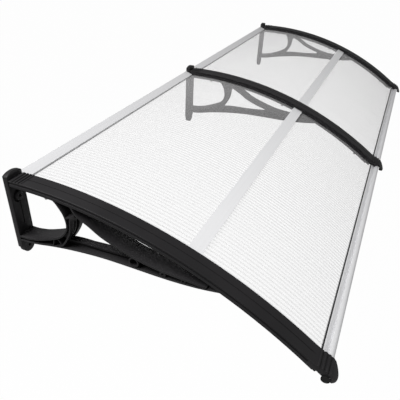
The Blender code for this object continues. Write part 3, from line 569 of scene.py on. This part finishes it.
def flutedSheetTree():
    # two skins and the ribs between them, laid flat over one unit of length, then bent
    labels = (
        "Width", "Flute Pitch", "Rib", "Skin", "Height", "Radius", "First Angle", "Last Angle"
    )
    inputs = {label: "Float" for label in labels}
    inputs.update({"Rib Count": "Int", "Steps": "Int", "Finish": "Material"})
    tree, start, end, sockets = geometryTree("flutedSheet", inputs)
    given = start.outputs
    lines = mathNode(tree, "ADD", given["Steps"], 1.0)

    def strip(width, height, x, z):
        block = added(tree, "GeometryNodeMeshCube")
        tree.links.new(vectorNode(tree, X=width, Y=1.0, Z=height), block.inputs["Size"])
        tree.links.new(lines, block.inputs["Vertices Y"])
        moved = added(tree, "GeometryNodeTransform")
        tree.links.new(block.outputs["Mesh"], moved.inputs["Geometry"])
        tree.links.new(vectorNode(tree, X=x, Y=0.5, Z=z), moved.inputs["Translation"])
        return moved.outputs["Geometry"]

    width, height, skin = given["Width"], given["Height"], given["Skin"]
    middle = mathNode(tree, "DIVIDE", width, 2.0)
    halfSkin = mathNode(tree, "DIVIDE", skin, 2.0)
    halfHeight = mathNode(tree, "DIVIDE", height, 2.0)
    top = strip(width, skin, middle, mathNode(tree, "MULTIPLY", halfSkin, -1.0))
    bottom = strip(width, skin, middle, mathNode(tree, "SUBTRACT", halfSkin, height))
    ribHeight = mathNode(tree, "SUBTRACT", height, skin)
    rib = strip(given["Rib"], ribHeight, 0.0, mathNode(tree, "MULTIPLY", halfHeight, -1.0))
    row = added(tree, "GeometryNodeMeshLine")
    tree.links.new(given["Rib Count"], row.inputs["Count"])
    tree.links.new(vectorNode(tree, X=given["Flute Pitch"]), row.inputs["Offset"])
    pitches = mathNode(tree, "SUBTRACT", given["Rib Count"], 1.0)
    span = mathNode(tree, "MULTIPLY", pitches, given["Flute Pitch"])
    first = mathNode(tree, "DIVIDE", mathNode(tree, "SUBTRACT", width, span), 2.0)
    tree.links.new(vectorNode(tree, X=first), row.inputs["Start Location"])
    ribs = added(tree, "GeometryNodeInstanceOnPoints")
    tree.links.new(row.outputs["Mesh"], ribs.inputs["Points"])
    tree.links.new(rib, ribs.inputs["Instance"])
    whole = added(tree, "GeometryNodeJoinGeometry")
    for strips in (top, bottom, ribs.outputs["Instances"]):
        tree.links.new(strips, whole.inputs["Geometry"])
    flat = added(tree, "GeometryNodeRealizeInstances")
    tree.links.new(whole.outputs["Geometry"], flat.inputs["Geometry"])
    spot = separated(tree, added(tree, "GeometryNodeInputPosition").outputs[0])
    spread = mathNode(tree, "SUBTRACT", given["Last Angle"], given["First Angle"])
    angle = mathNode(tree, "MULTIPLY_ADD", spot["Y"], spread, given["First Angle"])
    radius = mathNode(tree, "ADD", spot["Z"], given["Radius"])
    out = mathNode(tree, "MULTIPLY", radius, mathNode(tree, "SINE", angle))
    up = mathNode(tree, "MULTIPLY", radius, mathNode(tree, "COSINE", angle))
    bent = vectorNode(
        tree,
        X=spot["X"],
        Y=mathNode(tree, "MULTIPLY_ADD", out, -1.0, -arch["centreOut"]),
        Z=mathNode(tree, "ADD", up, arch["centreUp"]),
    )
    laid = added(tree, "GeometryNodeSetPosition")
    tree.links.new(flat.outputs["Geometry"], laid.inputs["Geometry"])
    tree.links.new(bent, laid.inputs["Position"])
    turned = added(tree, "GeometryNodeFlipFaces")
    tree.links.new(laid.outputs["Geometry"], turned.inputs["Mesh"])
    ended(tree, turned.outputs["Mesh"], start, end)
    return tree, sockets


standOnArch, standOnArchSockets = standOnArchTree()
flutedSheet, flutedSheetSockets = flutedSheetTree()

# Sheets

sheet = {
    "pitch": 1.0,  # from one bracket's middle to the next
    "side": 0.004,  # from a bracket's middle to the sheet
    "rear": 0.0146,  # out from the wall
    "flutePitch": 0.012,
    "ribCount": 83,
    "rib": 0.0007,
    "skin": 0.0007,
    "steps": 40,
}
for place in ("left", "right"):
    values = {
        "Width": sheet["pitch"] - 2 * sheet["side"],
        "Flute Pitch": sheet["flutePitch"],
        "Rib": sheet["rib"],
        "Skin": sheet["skin"],
        "Height": arch["sheetThickness"],
        "Radius": arch["sheetTop"],
        "First Angle": archAngle(sheet["rear"]),
        "Last Angle": frontAngle,
        "Rib Count": sheet["ribCount"],
        "Steps": sheet["steps"],
        "Finish": twinWallPlastic,
    }
    base = placed("sheetBase", bpy.data.meshes.new("sheetBase"))
    mesh = grownBy(flutedSheet, flutedSheetSockets, base, values)
    start = places["left" if place == "left" else "middle"] + sheet["side"]
    piece("flutedSheet_" + place, mesh, twinWallPlastic, ["sheet_" + place], start)
print("sheets laid")

# Brackets

bracket = {
    "plateTop": 0.102,
    "plateBottom": -0.0985,
    "plateEdge": 0.0008,  # rounding, as edge
    "corner": 0.0033,
    "crownRise": 0.006,
    "chamfer": 0.014,
    "tabCentreUp": -0.1005,
    "tabRadius": 0.020,
    "screwHole": 0.004,  # radius
    "upperHoleUp": 0.044,
    "lowerHoleUp": -0.1025,
    "moat": (0.0172, 0.008),  # round the upper hole's boss: radius and depth
    "plateBoss": (0.0125, 0.004),  # radius, and rise over the plate
    "plateGroove": (0.0015, -0.037, 0.025, 0.002),  # half width, low and high end, depth
    "ringCentre": (0.103, 0.025),
    "flange": 0.004,
    "ringEdge": (  # inner edge of the ring, from the plate's foot round to the arm
        (0.0083, -0.0598), (0.033, -0.0594), (0.052, -0.0564), (0.066, -0.0534),
        (0.080, -0.0490), (0.094, -0.0440), (0.108, -0.0386), (0.1215, -0.0328),
        (0.1355, -0.0255), (0.1475, -0.0166), (0.1555, -0.0075), (0.1630, 0.0040),
        (0.1657, 0.0150), (0.1655, 0.0285), (0.1605, 0.0458), (0.1515, 0.0600),
        (0.1420, 0.0718), (0.1300, 0.0805),
    ),
    "outerEdge": (  # outer edge of the ring, from the brace down to the strut
        (0.1945, 0.0500), (0.1850, 0.0420), (0.1802, 0.0310), (0.1785, 0.0150),
        (0.1752, -0.0010), (0.1680, -0.0165), (0.1600, -0.0300), (0.1500, -0.0440),
        (0.1380, -0.0525), (0.1320, -0.0560),
    ),
    "closingRib": ((0.1660, 0.0365), (0.1935, 0.0475)),
    "hub": (0.069, 0.0125, 2, -50),  # band round the ring's centre: radius, depth, two turns
    "groove": (0.0765, 0.0195, 0, -46),  # the same for the groove round the ring's outside
    "grooveHalf": 0.0098,
    "hubHalf": 0.0118,
    "crown": (0.152, 0.184),  # where the web meets the arm, out from the wall
    "crownJoins": (0.064, 0.062),  # where the web leaves the ring and the brace for it, up
    "webHalf": 0.002,
    "strutRootUp": -0.0746,
    "strutFlange": 0.0032,
    "strutShares": (
        (0.098, 0.111), (0.193, 0.332), (0.288, 0.513), (0.383, 0.643), (0.477, 0.722),
        (0.563, 0.738), (0.659, 0.733), (0.75, 0.729), (0.839, 0.766), (0.924, 0.856), (1, 1),
    ),
    "strutCapRoot": (0.150, -0.0366),
    "strutCapShares": ((0, 0), (0.212, 0.434), (0.585, 0.531), (1, 1)),
    "strutCapHalf": 0.009,
    "strutCellBack": 0.02,  # how far behind the cap's root its web starts
    "braceLeave": 0.195,  # where the brace's curve starts from the arm
    "braceRoot": (
        (0.1865, 0.0720), (0.1910, 0.0620), (0.1962, 0.0550), (0.2025, 0.0495), (0.2105, 0.0450)
    ),
    "braceShares": (
        (0.096, 0.266), (0.187, 0.476), (0.275, 0.616), (0.354, 0.717), (0.427, 0.803),
        (0.5, 0.869), (0.574, 0.914), (0.641, 0.942), (0.779, 0.97), (0.919, 0.995),
    ),
    "braceThickness": 0.0046,
    "braceDrop": 0.0012,
    "rootOut": 0.0083,
    "tipOut": 0.5355,
    "saddleHalf": 0.0145,
    "tailHalf": 0.01625,  # of the saddle beyond the strut
    "saddleEnd": 0.53,
    "tailStart": 0.51,
    "spineStart": 0.00913,
    "armRibStart": 0.00996,
    "armRibEnd": 0.7348,
    "spineHalf": 0.003,
    "spineDrop": 0.0031,  # from the cover's top
    "armRibHalf": 0.0025,
    "sheetBed": 0.0009,  # how deep the sheet's space goes into the frame
    "sheetBedStart": 0.01242,
    "edge": 0.0006,  # rounding
    "saddleEdge": 0.0005,
    "ribInset": 0.0012,  # of bosses and small ribs from the sides
    "bosses": (  # out, rim, hole
        (0.338, 0.0125, 0.0095), (0.408, 0.0075, 0.0032), (0.456, 0.0058, 0.003)
    ),
    "pocketDepth": 0.016,
    "tailRib": (0.503, 0.504, 0.004),  # out at the strut and at the brace, thickness
    "stays": ((0.117, -72), (0.148, -62)),  # out along the strut, turn round the ring
    "stay": (0.062, 0.0025),  # distance of their tops from the ring's centre, thickness
    "screwPost": 0.0055,  # radius
    "screwShaft": 0.0022,
    "screwsOut": (0.100, 0.39515, 0.6903),
}
sliver = 0.0001  # keeps two faces from lying in one plane


def shifted(line, distance):
    # the line moved square to itself, to the right of its way
    moved = []
    for i, (x, y) in enumerate(line):
        x0, y0 = line[max(i - 1, 0)]
        x1, y1 = line[min(i + 1, len(line) - 1)]
        length = math.hypot(x1 - x0, y1 - y0)
        moved.append((x + (y1 - y0) / length * distance, y - (x1 - x0) / length * distance))
    return moved


def edgeLine(name):
    # middle line of a flange, from its edge
    return shifted(smooth(bracket[name], 4), bracket["flange"] / 2)


strutTip = onArch(coverLip, archAngle(bracket["tipOut"]))


def strutLine():
    root = (bracket["rootOut"], bracket["strutRootUp"] + bracket["strutFlange"] / 2)
    return smooth([root] + spanned(root, strutTip, bracket["strutShares"]), 5)


def braceLine():
    leave = onArch(armMiddle, archAngle(bracket["braceLeave"]))
    drop = bracket["braceDrop"]
    run = [(x, y - drop) for x, y in spanned(leave, strutTip, bracket["braceShares"])]
    return smooth(list(bracket["braceRoot"]) + run, 5)


def bossCentre(out):
    return out, (heightAt(strutLine(), out) + heightAt(braceLine(), out)) / 2


def strutCapLine():
    ends = (bracket["strutCapRoot"], bossCentre(bracket["bosses"][0][0]))
    return smooth(spanned(*ends, bracket["strutCapShares"]), 6)


def part(line, start, end):
    return [point for point in line if start < point[0] < end]


def bracketWebs():
    strut, brace, cap = strutLine(), braceLine(), strutCapLine()
    ring, outer = edgeLine("ringEdge"), edgeLine("outerEdge")
    ringJoin, braceJoin = bracket["crownJoins"]
    rise = [point for point in ring if point[1] < ringJoin]
    crown = archLine(armMiddle, *bracket["crown"])
    bend = part(brace, 0, bracket["braceRoot"][-1][0])
    fall = [point for point in bend if point[1] < braceJoin]
    foot = part(strut, bracket["rootOut"], outer[-1][0])[::-1]
    ringCell = rise + crown + fall + outer[1:] + foot + strut[:1]
    strutCell = cap + part(strut, cap[0][0] - bracket["strutCellBack"], cap[-1][0])[::-1]
    tailStart = cap[-1][0]
    tailCell = cap[-1:] + part(brace, tailStart, 1) + part(strut, tailStart, brace[-1][0])[::-1]
    return [sideSolid("web", cell, bracket["webHalf"]) for cell in (ringCell, strutCell, tailCell)]


def ringBand(values):
    radius, depth, first, last = values
    return ribOutline(circlePoints(bracket["ringCentre"], radius, first, last, 20), depth)


def bracketFrame(sides):
    edge, flange = bracket["edge"], bracket["flange"]
    strut, brace = strutLine(), braceLine()
    closing = ribOutline(bracket["closingRib"], flange)
    ribs = [
        sideSolid("strutFlange", ribOutline(strut, bracket["strutFlange"]), halfWidth, edge),
        sideSolid("ringInner", ribOutline(edgeLine("ringEdge"), flange), halfWidth, edge),
        sideSolid("ringOuter", ribOutline(edgeLine("outerEdge"), flange), halfWidth, edge),
        sideSolid("brace", ribOutline(brace, bracket["braceThickness"]), halfWidth, edge),
        sideSolid("closingRib", closing, halfWidth - 4 * sliver, edge),
        sideSolid("hub", ringBand(bracket["hub"]), bracket["hubHalf"]),
    ]
    inset = halfWidth - bracket["ribInset"]
    for out, rim, _ in bracket["bosses"]:
        ribs.append(sideSolid("boss", circle(bossCentre(out), rim, 32), inset, edge))
    strutOut, braceOut, thickness = bracket["tailRib"]
    ends = [(strutOut, heightAt(strut, strutOut)), (braceOut, heightAt(brace, braceOut))]
    ribs.append(sideSolid("rib", ribOutline(ends, thickness), inset, edge))
    reach, thickness = bracket["stay"]
    for out, turn in bracket["stays"]:
        high = circlePoints(bracket["ringCentre"], reach, turn, turn, 1)[0]
        ends = [(out, heightAt(strut, out)), high]
        ribs.append(sideSolid("rib", ribOutline(ends, thickness), inset, edge))
    spaces = []
    for side in (-1, 1):
        # where no sheet lies, the frame goes on up to the cover
        low = saddleTop - bracket["sheetBed"] if side in sides else coverLip - seat
        band = archBand(low, coverTop + beyond, bracket["sheetBedStart"], allFront)
        spaces.append(sideHalf("sheetSpace", band, side))
    groove = sideSolid("groove", ringBand(bracket["groove"]), bracket["grooveHalf"])
    return cut(joined(ribs), spaces + [groove])


def wallPlate():
    half, corner = halfWidth, bracket["corner"]
    top, bottom, rise = bracket["plateTop"], bracket["plateBottom"], bracket["crownRise"]
    radius = (half**2 + rise**2) / (2 * rise)
    turn = math.degrees(math.asin(half / radius))
    crown = circlePoints((0, top + rise - radius), radius, 90 - turn, 90 + turn, 16)
    tabCentre, tabRadius = bracket["tabCentreUp"], bracket["tabRadius"]
    turn = math.degrees(math.asin((bottom - tabCentre) / tabRadius))
    tab = circlePoints((0, tabCentre), tabRadius, 180 - turn, 360 + turn, 30)[1:-1]
    left = circlePoints((-half + corner, bottom + corner), corner, 180, 270, 5)
    right = circlePoints((half - corner, bottom + corner), corner, 270, 360, 5)
    outline = crown + left + tab + right
    plate = extruded("wallPlate", outline, frontPlane, 0, plateDepth, bracket["plateEdge"])
    face, front = plateDepth, plateDepth + past
    upper, lower = (0, bracket["upperHoleUp"]), (0, bracket["lowerHoleUp"])
    radius, depth = bracket["moat"]
    moat = extruded("moat", circle(upper, radius, 40), frontPlane, face - depth, front)
    half, low, high, depth = bracket["plateGroove"]
    box = [(-half, low), (half, low), (half, high), (-half, high)]
    groove = extruded("groove", box, frontPlane, face - depth, front)
    radius, over = bracket["plateBoss"]
    rim = circle(upper, radius, 40)
    boss = extruded("boss", rim, frontPlane, face / 3, face + over, bracket["edge"])
    combined(cut(plate, [moat, groove]), boss, "UNION")
    crest, slope = top + rise, bracket["chamfer"]
    chamfer = [(front, crest - slope), (front, crest + past), (face - slope, crest + past)]
    holes = [
        extruded("hole", circle(spot, bracket["screwHole"], 28), frontPlane, -past, front)
        for spot in (upper, lower)
    ]
    return cut(plate, holes + [sideSolid("chamfer", chamfer, beyond)])


def bossHoles():
    # a blind hole in each end of a boss
    floor = halfWidth - bracket["pocketDepth"]
    holes = []
    for out, _, radius in bracket["bosses"]:
        for low, high in ((-beyond, -floor), (floor, beyond)):
            outline = circle(bossCentre(out), radius, 28)
            holes.append(extruded("hole", outline, sidePlane, low, high))
    return holes


def bracketMesh(sides):
    edge, spineTop = bracket["saddleEdge"], coverTop - bracket["spineDrop"]
    cap = ribOutline(strutCapLine(), bracket["flange"])
    saddle = archBand(saddleBottom, saddleTop, bracket["rootOut"], bracket["saddleEnd"])
    low, high = saddleBottom - sliver, saddleTop - sliver
    tail = archBand(low, high, bracket["tailStart"], armFront)
    spine = archBand(armMiddle, spineTop, bracket["spineStart"], armFront - seat)
    low, high = armRibBottom, armMiddle + 9 * sliver
    armRib = archBand(low, high, bracket["armRibStart"], bracket["armRibEnd"])
    parts = [
        wallPlate(),
        bracketFrame(sides),
        *bracketWebs(),
        sideSolid("strutCap", cap, bracket["strutCapHalf"]),
        sideSolid("saddle", saddle, bracket["saddleHalf"], edge),
        sideSolid("tail", tail, bracket["tailHalf"], edge),
        sideSolid("spine", spine, bracket["spineHalf"]),
        sideSolid("armRib", armRib, bracket["armRibHalf"]),
    ]
    holes = bossHoles()
    for out in bracket["screwsOut"]:
        angle = archAngle(out)
        parts.append(standing(angle, bracket["screwPost"], armRibBottom, armMiddle, 24))
        holes.append(standing(angle, bracket["screwShaft"], armRibBottom - past, coverTop, 16))
    return cut(joined(parts), holes)


for place, along in places.items():
    mesh = plainMesh(bracketMesh(sheetSides[place]))
    name, node = "wallBracket_" + place, "bracket_" + place
    piece(name, mesh, blackMoulding, [node], along)
    print(name, "made with", len(mesh.polygons), "faces")

# Covers

cover = {
    "topWall": 0.0028,
    "sideWall": 0.003,
    "rounding": 0.001,
    "rear": 0.0168,
    "front": 0.012,  # of the plain strip, back from the sheet's front
    "topGroove": (0.0013, 0.001),  # half width and depth
    "recessLow": 0.0062,
    "recessHigh": 0.0117,
    "recessDepth": 0.0023,
    "recessSlope": 0.0006,
    "wallStep": 0.001,
    "lipEdge": 0.0004,
    "gripCount": 4,
    "gripWidth": 0.0052,
    "gripRise": 0.0016,
    "gripRoot": 0.0012,
    "gripInset": 0.0008,
    "gripEdge": 0.0004,
    "hollowWidth": 0.0034,
    "hollowDepth": 0.0015,
    "gripRear": (0.024, 0.0088),  # first rib and pitch, out from the wall
    "gripFront": (-0.0245, 0.0093),  # the same along the front edge's slope
    "nose": (  # top line, along and square to the sheet's front edge
        (-0.0250, 0.0152), (-0.0150, 0.0180), (-0.0061, 0.0197), (0.0019, 0.0201),
        (0.0106, 0.0189), (0.0205, 0.0158), (0.0275, 0.0131), (0.0314, 0.0121),
    ),
    "noseLip": ((0.0314, 0.0116), (0.0294, 0.0100), (0.0159, 0.0088)),
    "noseEnds": (-0.036, 0.006),  # of its underside, out from the sheet's front
    "noseEdge": 0.0006,
    "noseSag": 0.011,  # of its bowed front
    "reach": 0.7892,
    "tubeCentre": (0.0054, 0.0093),  # along and square, as the nose
    "tubeSpace": 0.0076,  # radius
    "railSpace": (0.0052, 0.004),  # over the lip, and out past the sheet's front
    "crossbarNotch": (0.438, 0.470, 0.0043),  # from, to, and over the lip
}


def coverSection():
    half, top, recess = halfWidth, arch["coverHeight"], cover["recessDepth"]
    groove, depth = cover["topGroove"]
    rounding, slope, lip = cover["rounding"], cover["recessSlope"], cover["lipEdge"]
    low, high, ceiling = cover["recessLow"], cover["recessHigh"], top - cover["topWall"]
    wall = half - cover["sideWall"]
    corner = circlePoints((half - rounding, top - rounding), rounding, 90, 0, 6)
    outside = [(0, top - depth), (groove, top - depth), (groove, top)] + corner
    side = [
        (half, high),
        (half - recess, high - slope),
        (half - recess, low + slope),
        (half, low),
        (half, lip),
        (half - lip, 0),
    ]
    inside = [
        (wall, 0),
        (wall, low - cover["wallStep"]),
        (wall - recess, low),
        (wall - recess, ceiling),
        (0, ceiling),
    ]
    right = outside + side + inside
    return [(x, y + coverLip) for x, y in right + [(-x, y) for x, y in right[::-1] if x > 0]]


def noseOutline():
    rear, front = (sheetFront + end for end in cover["noseEnds"])
    start = onArch(coverTop - 7 * sliver, archAngle(rear))
    top = [atFront(*point) for point in smooth(cover["nose"], 5)]
    lip = [atFront(*point) for point in cover["noseLip"]]
    return [start] + top + lip + archLine(coverLip + 2 * sliver, rear, front)[::-1]


def noseSpaces():
    # room for the front tube with its slot, and for the rail and the seal
    out, up = atFront(*cover["tubeCentre"])
    radius = cover["tubeSpace"]
    foot = [(out - radius, up - beyond), (out + radius, up - beyond)]
    mouth = circlePoints((out, up), radius, 0, 180, 24) + foot
    over, ahead = cover["railSpace"]
    under = archBand(saddleBottom - beyond, coverLip + over, armFront, sheetFront + ahead)
    return [sideSolid("mouth", mouth, beyond), sideSolid("railSpace", under, beyond)]


def gripPoints(count, step):
    # places of the grip ribs, or of the hollows between them: on the cover's top and its nose
    rear, front = cover["gripRear"], cover["gripFront"]
    outs = [rear[0] + rear[1] * (i + step) for i in range(count)]
    spots = [onArch(coverTop, archAngle(out)) for out in outs]
    crest = smooth(cover["nose"], 5)
    for i in range(count):
        along = front[0] + front[1] * (i + step)
        spots.append(atFront(along, heightAt(crest, along)))
    mesh = bpy.data.meshes.new("gripPoints")
    mesh.from_pydata([(0, -out, up) for out, up in spots], [], [])
    return placed("gripPoints", mesh)


def halfEllipse(wide, high, first, steps):
    turns = [math.radians(first + 180 / steps * i) for i in range(steps + 1)]
    return [(wide * math.cos(turn), high * math.sin(turn)) for turn in turns]


def gripHollow():
    # cutter for one hollow
    wide = cover["hollowWidth"] / 2
    outline = halfEllipse(wide, cover["hollowDepth"], 180, 10) + [(wide, past), (-wide, past)]
    return sideSolid("gripHollow", outline, halfWidth + past)


def gripRib():
    # one rib, its middle on the arch line at the origin, standing along Z
    half, wide, root = halfWidth - cover["gripInset"], cover["gripWidth"] / 2, -cover["gripRoot"]
    outline = halfEllipse(wide, cover["gripRise"], 0, 12) + [(-wide, root), (wide, root)]
    return sideSolid("gripRib", outline, half, cover["gripEdge"])


def coverPlan():
    # bowed front and straight sides, seen from above
    reach, sag, clear = cover["reach"], cover["noseSag"], halfWidth + 4 * sliver
    radius = (halfWidth**2 + sag**2) / (2 * sag)
    turn = math.degrees(math.asin(halfWidth / radius))
    bow = circlePoints((0, reach - radius), radius, 90 - turn, 90 + turn, 24)
    bow[0], bow[-1] = (clear, reach - sag), (-clear, reach - sag)
    outline = bow + [(-clear, -past), (clear, -past)]
    return extruded("plan", outline, planPlane, -reach, reach)


def coverMesh(sides):
    strip = swept("coverStrip", coverSection(), cover["rear"], sheetFront - cover["front"])
    nose = sideSolid("nose", noseOutline(), halfWidth + 2 * sliver, cover["noseEdge"])
    room = archBand(saddleBottom, coverTop - cover["topWall"], cover["rear"], armFront + seat)
    roomHalf = halfWidth - cover["sideWall"] - cover["recessDepth"]
    combined(strip, cut(nose, [sideSolid("room", room, roomHalf)]), "UNION")
    start, end, over = cover["crossbarNotch"]
    bar = archBand(saddleBottom, coverLip + over, start - seat, end + seat)
    cut(strip, noseSpaces() + [sideHalf("notch", bar, side) for side in sides])
    return combined(strip, coverPlan(), "INTERSECT")


def grips(unit, count, step):
    values = {"Piece": unit, "Finish": blackMoulding}
    return grownBy(standOnArch, standOnArchSockets, gripPoints(count, step), values)


for place, along in places.items():
    strip = coverMesh(sheetSides[place])
    count = cover["gripCount"]
    gripRibs, hollows = grips(gripRib(), count, 0), grips(gripHollow(), count - 1, 0.5)
    cut(strip, [placed("hollows", hollows)])
    whole = bmesh.new()
    whole.from_mesh(plainMesh(strip))
    whole.from_mesh(gripRibs)
    mesh = bpy.data.meshes.new("coverStrip")
    whole.to_mesh(mesh)
    whole.free()
    piece("coverStrip_" + place, mesh, blackMoulding, ["cover_" + place], along)
print("covers made")

# Pieces that keep their CAD shape get their finish here

finishes = {
    "cover_screw": zincScrew,
    "crossbar": anodisedSection,
    "rear_rail": anodisedRear,
    "front_seal": sealRubber,
    "front_rail": anodisedTube,
    "rail_cap": capPlastic,
}
for name, solid in frame["nodes"].items():
    for start, finish in finishes.items():
        if name.startswith(start):
            solid.data.materials.clear()
            solid.data.materials.append(finish)

# Floor, backdrop, lights and camera

studio = {
    "floorUp": -2.1,
    "floorReach": 60.0,
    "floorColour": (0.8, 0.8, 0.8),
    "floorWhite": 0.98,  # share of white that the camera sees in the floor
    "worldStrength": 0.32,
    "lamps": {  # power, size, place, aim
        "keyLight": (140.0, 1.6, (-2.0, 0.9, 2.4), (-0.5, -0.3, 0)),
        "fillLight": (22.0, 2.0, (-0.9, -3.6, 1.0), (-0.6, -0.2, 0)),
    },
}
photoView = {
    "lens": 39.544,
    "sensor": 36,
    "shift": (0.0813, 0.0563),
    "clipEnd": 200,
    "place": (-1.6427, -0.7320, 0.5781),
    "tilt": 55.6415,  # degrees, as the next one
    "heading": -63.2762,
}


def whiteToCamera(tree, plain, white, share, output):
    # the camera sees white, also through the sheets; other rays meet the plain shader
    rays = added(tree, "ShaderNodeLightPath").outputs
    seen = mathNode(tree, "MAXIMUM", rays["Is Camera Ray"], rays["Is Transmission Ray"])
    both = added(tree, "ShaderNodeMixShader")
    tree.links.new(mathNode(tree, "MULTIPLY", seen, share), both.inputs["Fac"])
    tree.links.new(plain.outputs[0], both.inputs[1])
    tree.links.new(white.outputs[0], both.inputs[2])
    tree.links.new(both.outputs[0], tree.nodes[output].inputs["Surface"])


def paleFloor():
    made, tree, shader = newMaterial("paleFloor", 0.9)
    shader.inputs["Base Color"].default_value = (*studio["floorColour"], 1)
    white = added(tree, "ShaderNodeEmission")
    white.inputs["Color"].default_value = (1, 1, 1, 1)
    whiteToCamera(tree, shader, white, studio["floorWhite"], "Material Output")
    return made


floorMesh = bpy.data.meshes.new("floor")
reach, up = studio["floorReach"], studio["floorUp"]
corners = [(-reach, -reach, up), (reach, -reach, up), (reach, reach, up), (-reach, reach, up)]
floorMesh.from_pydata(corners, [], [(0, 1, 2, 3)])
floorMesh.materials.append(paleFloor())
floor = inScene("floor", floorMesh)

world = bpy.data.worlds.new("studio")
bpy.context.scene.world = world
world.use_nodes = True
dimSky = world.node_tree.nodes["Background"]
whiteSky = added(world.node_tree, "ShaderNodeBackground")
for sky, strength in ((dimSky, studio["worldStrength"]), (whiteSky, 1.0)):
    sky.inputs["Color"].default_value = (1, 1, 1, 1)
    sky.inputs["Strength"].default_value = strength
whiteToCamera(world.node_tree, dimSky, whiteSky, 1.0, "World Output")

for name, (power, size, spot, aim) in studio["lamps"].items():
    lamp = bpy.data.lights.new(name, "AREA")
    lamp.shape = "SQUARE"
    lamp.size = size
    lamp.energy = power
    light = inScene(name, lamp)
    light.location = spot
    light.rotation_euler = (Vector(aim) - Vector(spot)).to_track_quat("-Z", "Y").to_euler()

camera = bpy.data.cameras.new("camera")
camera.lens = photoView["lens"]
camera.sensor_width = photoView["sensor"]
camera.shift_x, camera.shift_y = photoView["shift"]
camera.clip_end = photoView["clipEnd"]
viewer = inScene("camera", camera)
viewer.location = photoView["place"]
tilt, heading = math.radians(photoView["tilt"]), math.radians(photoView["heading"])
viewer.rotation_euler = (tilt, 0, heading)
bpy.context.scene.camera = viewer
print("studio lit")

bpy.context.scene.view_settings.view_transform = "Standard"
bpy.context.scene.cycles.transparent_max_bounces = 48  # the sheets have many skins and ribs
for leftOver in list(workshop.objects):
    bpy.data.objects.remove(leftOver)
bpy.data.collections.remove(workshop)
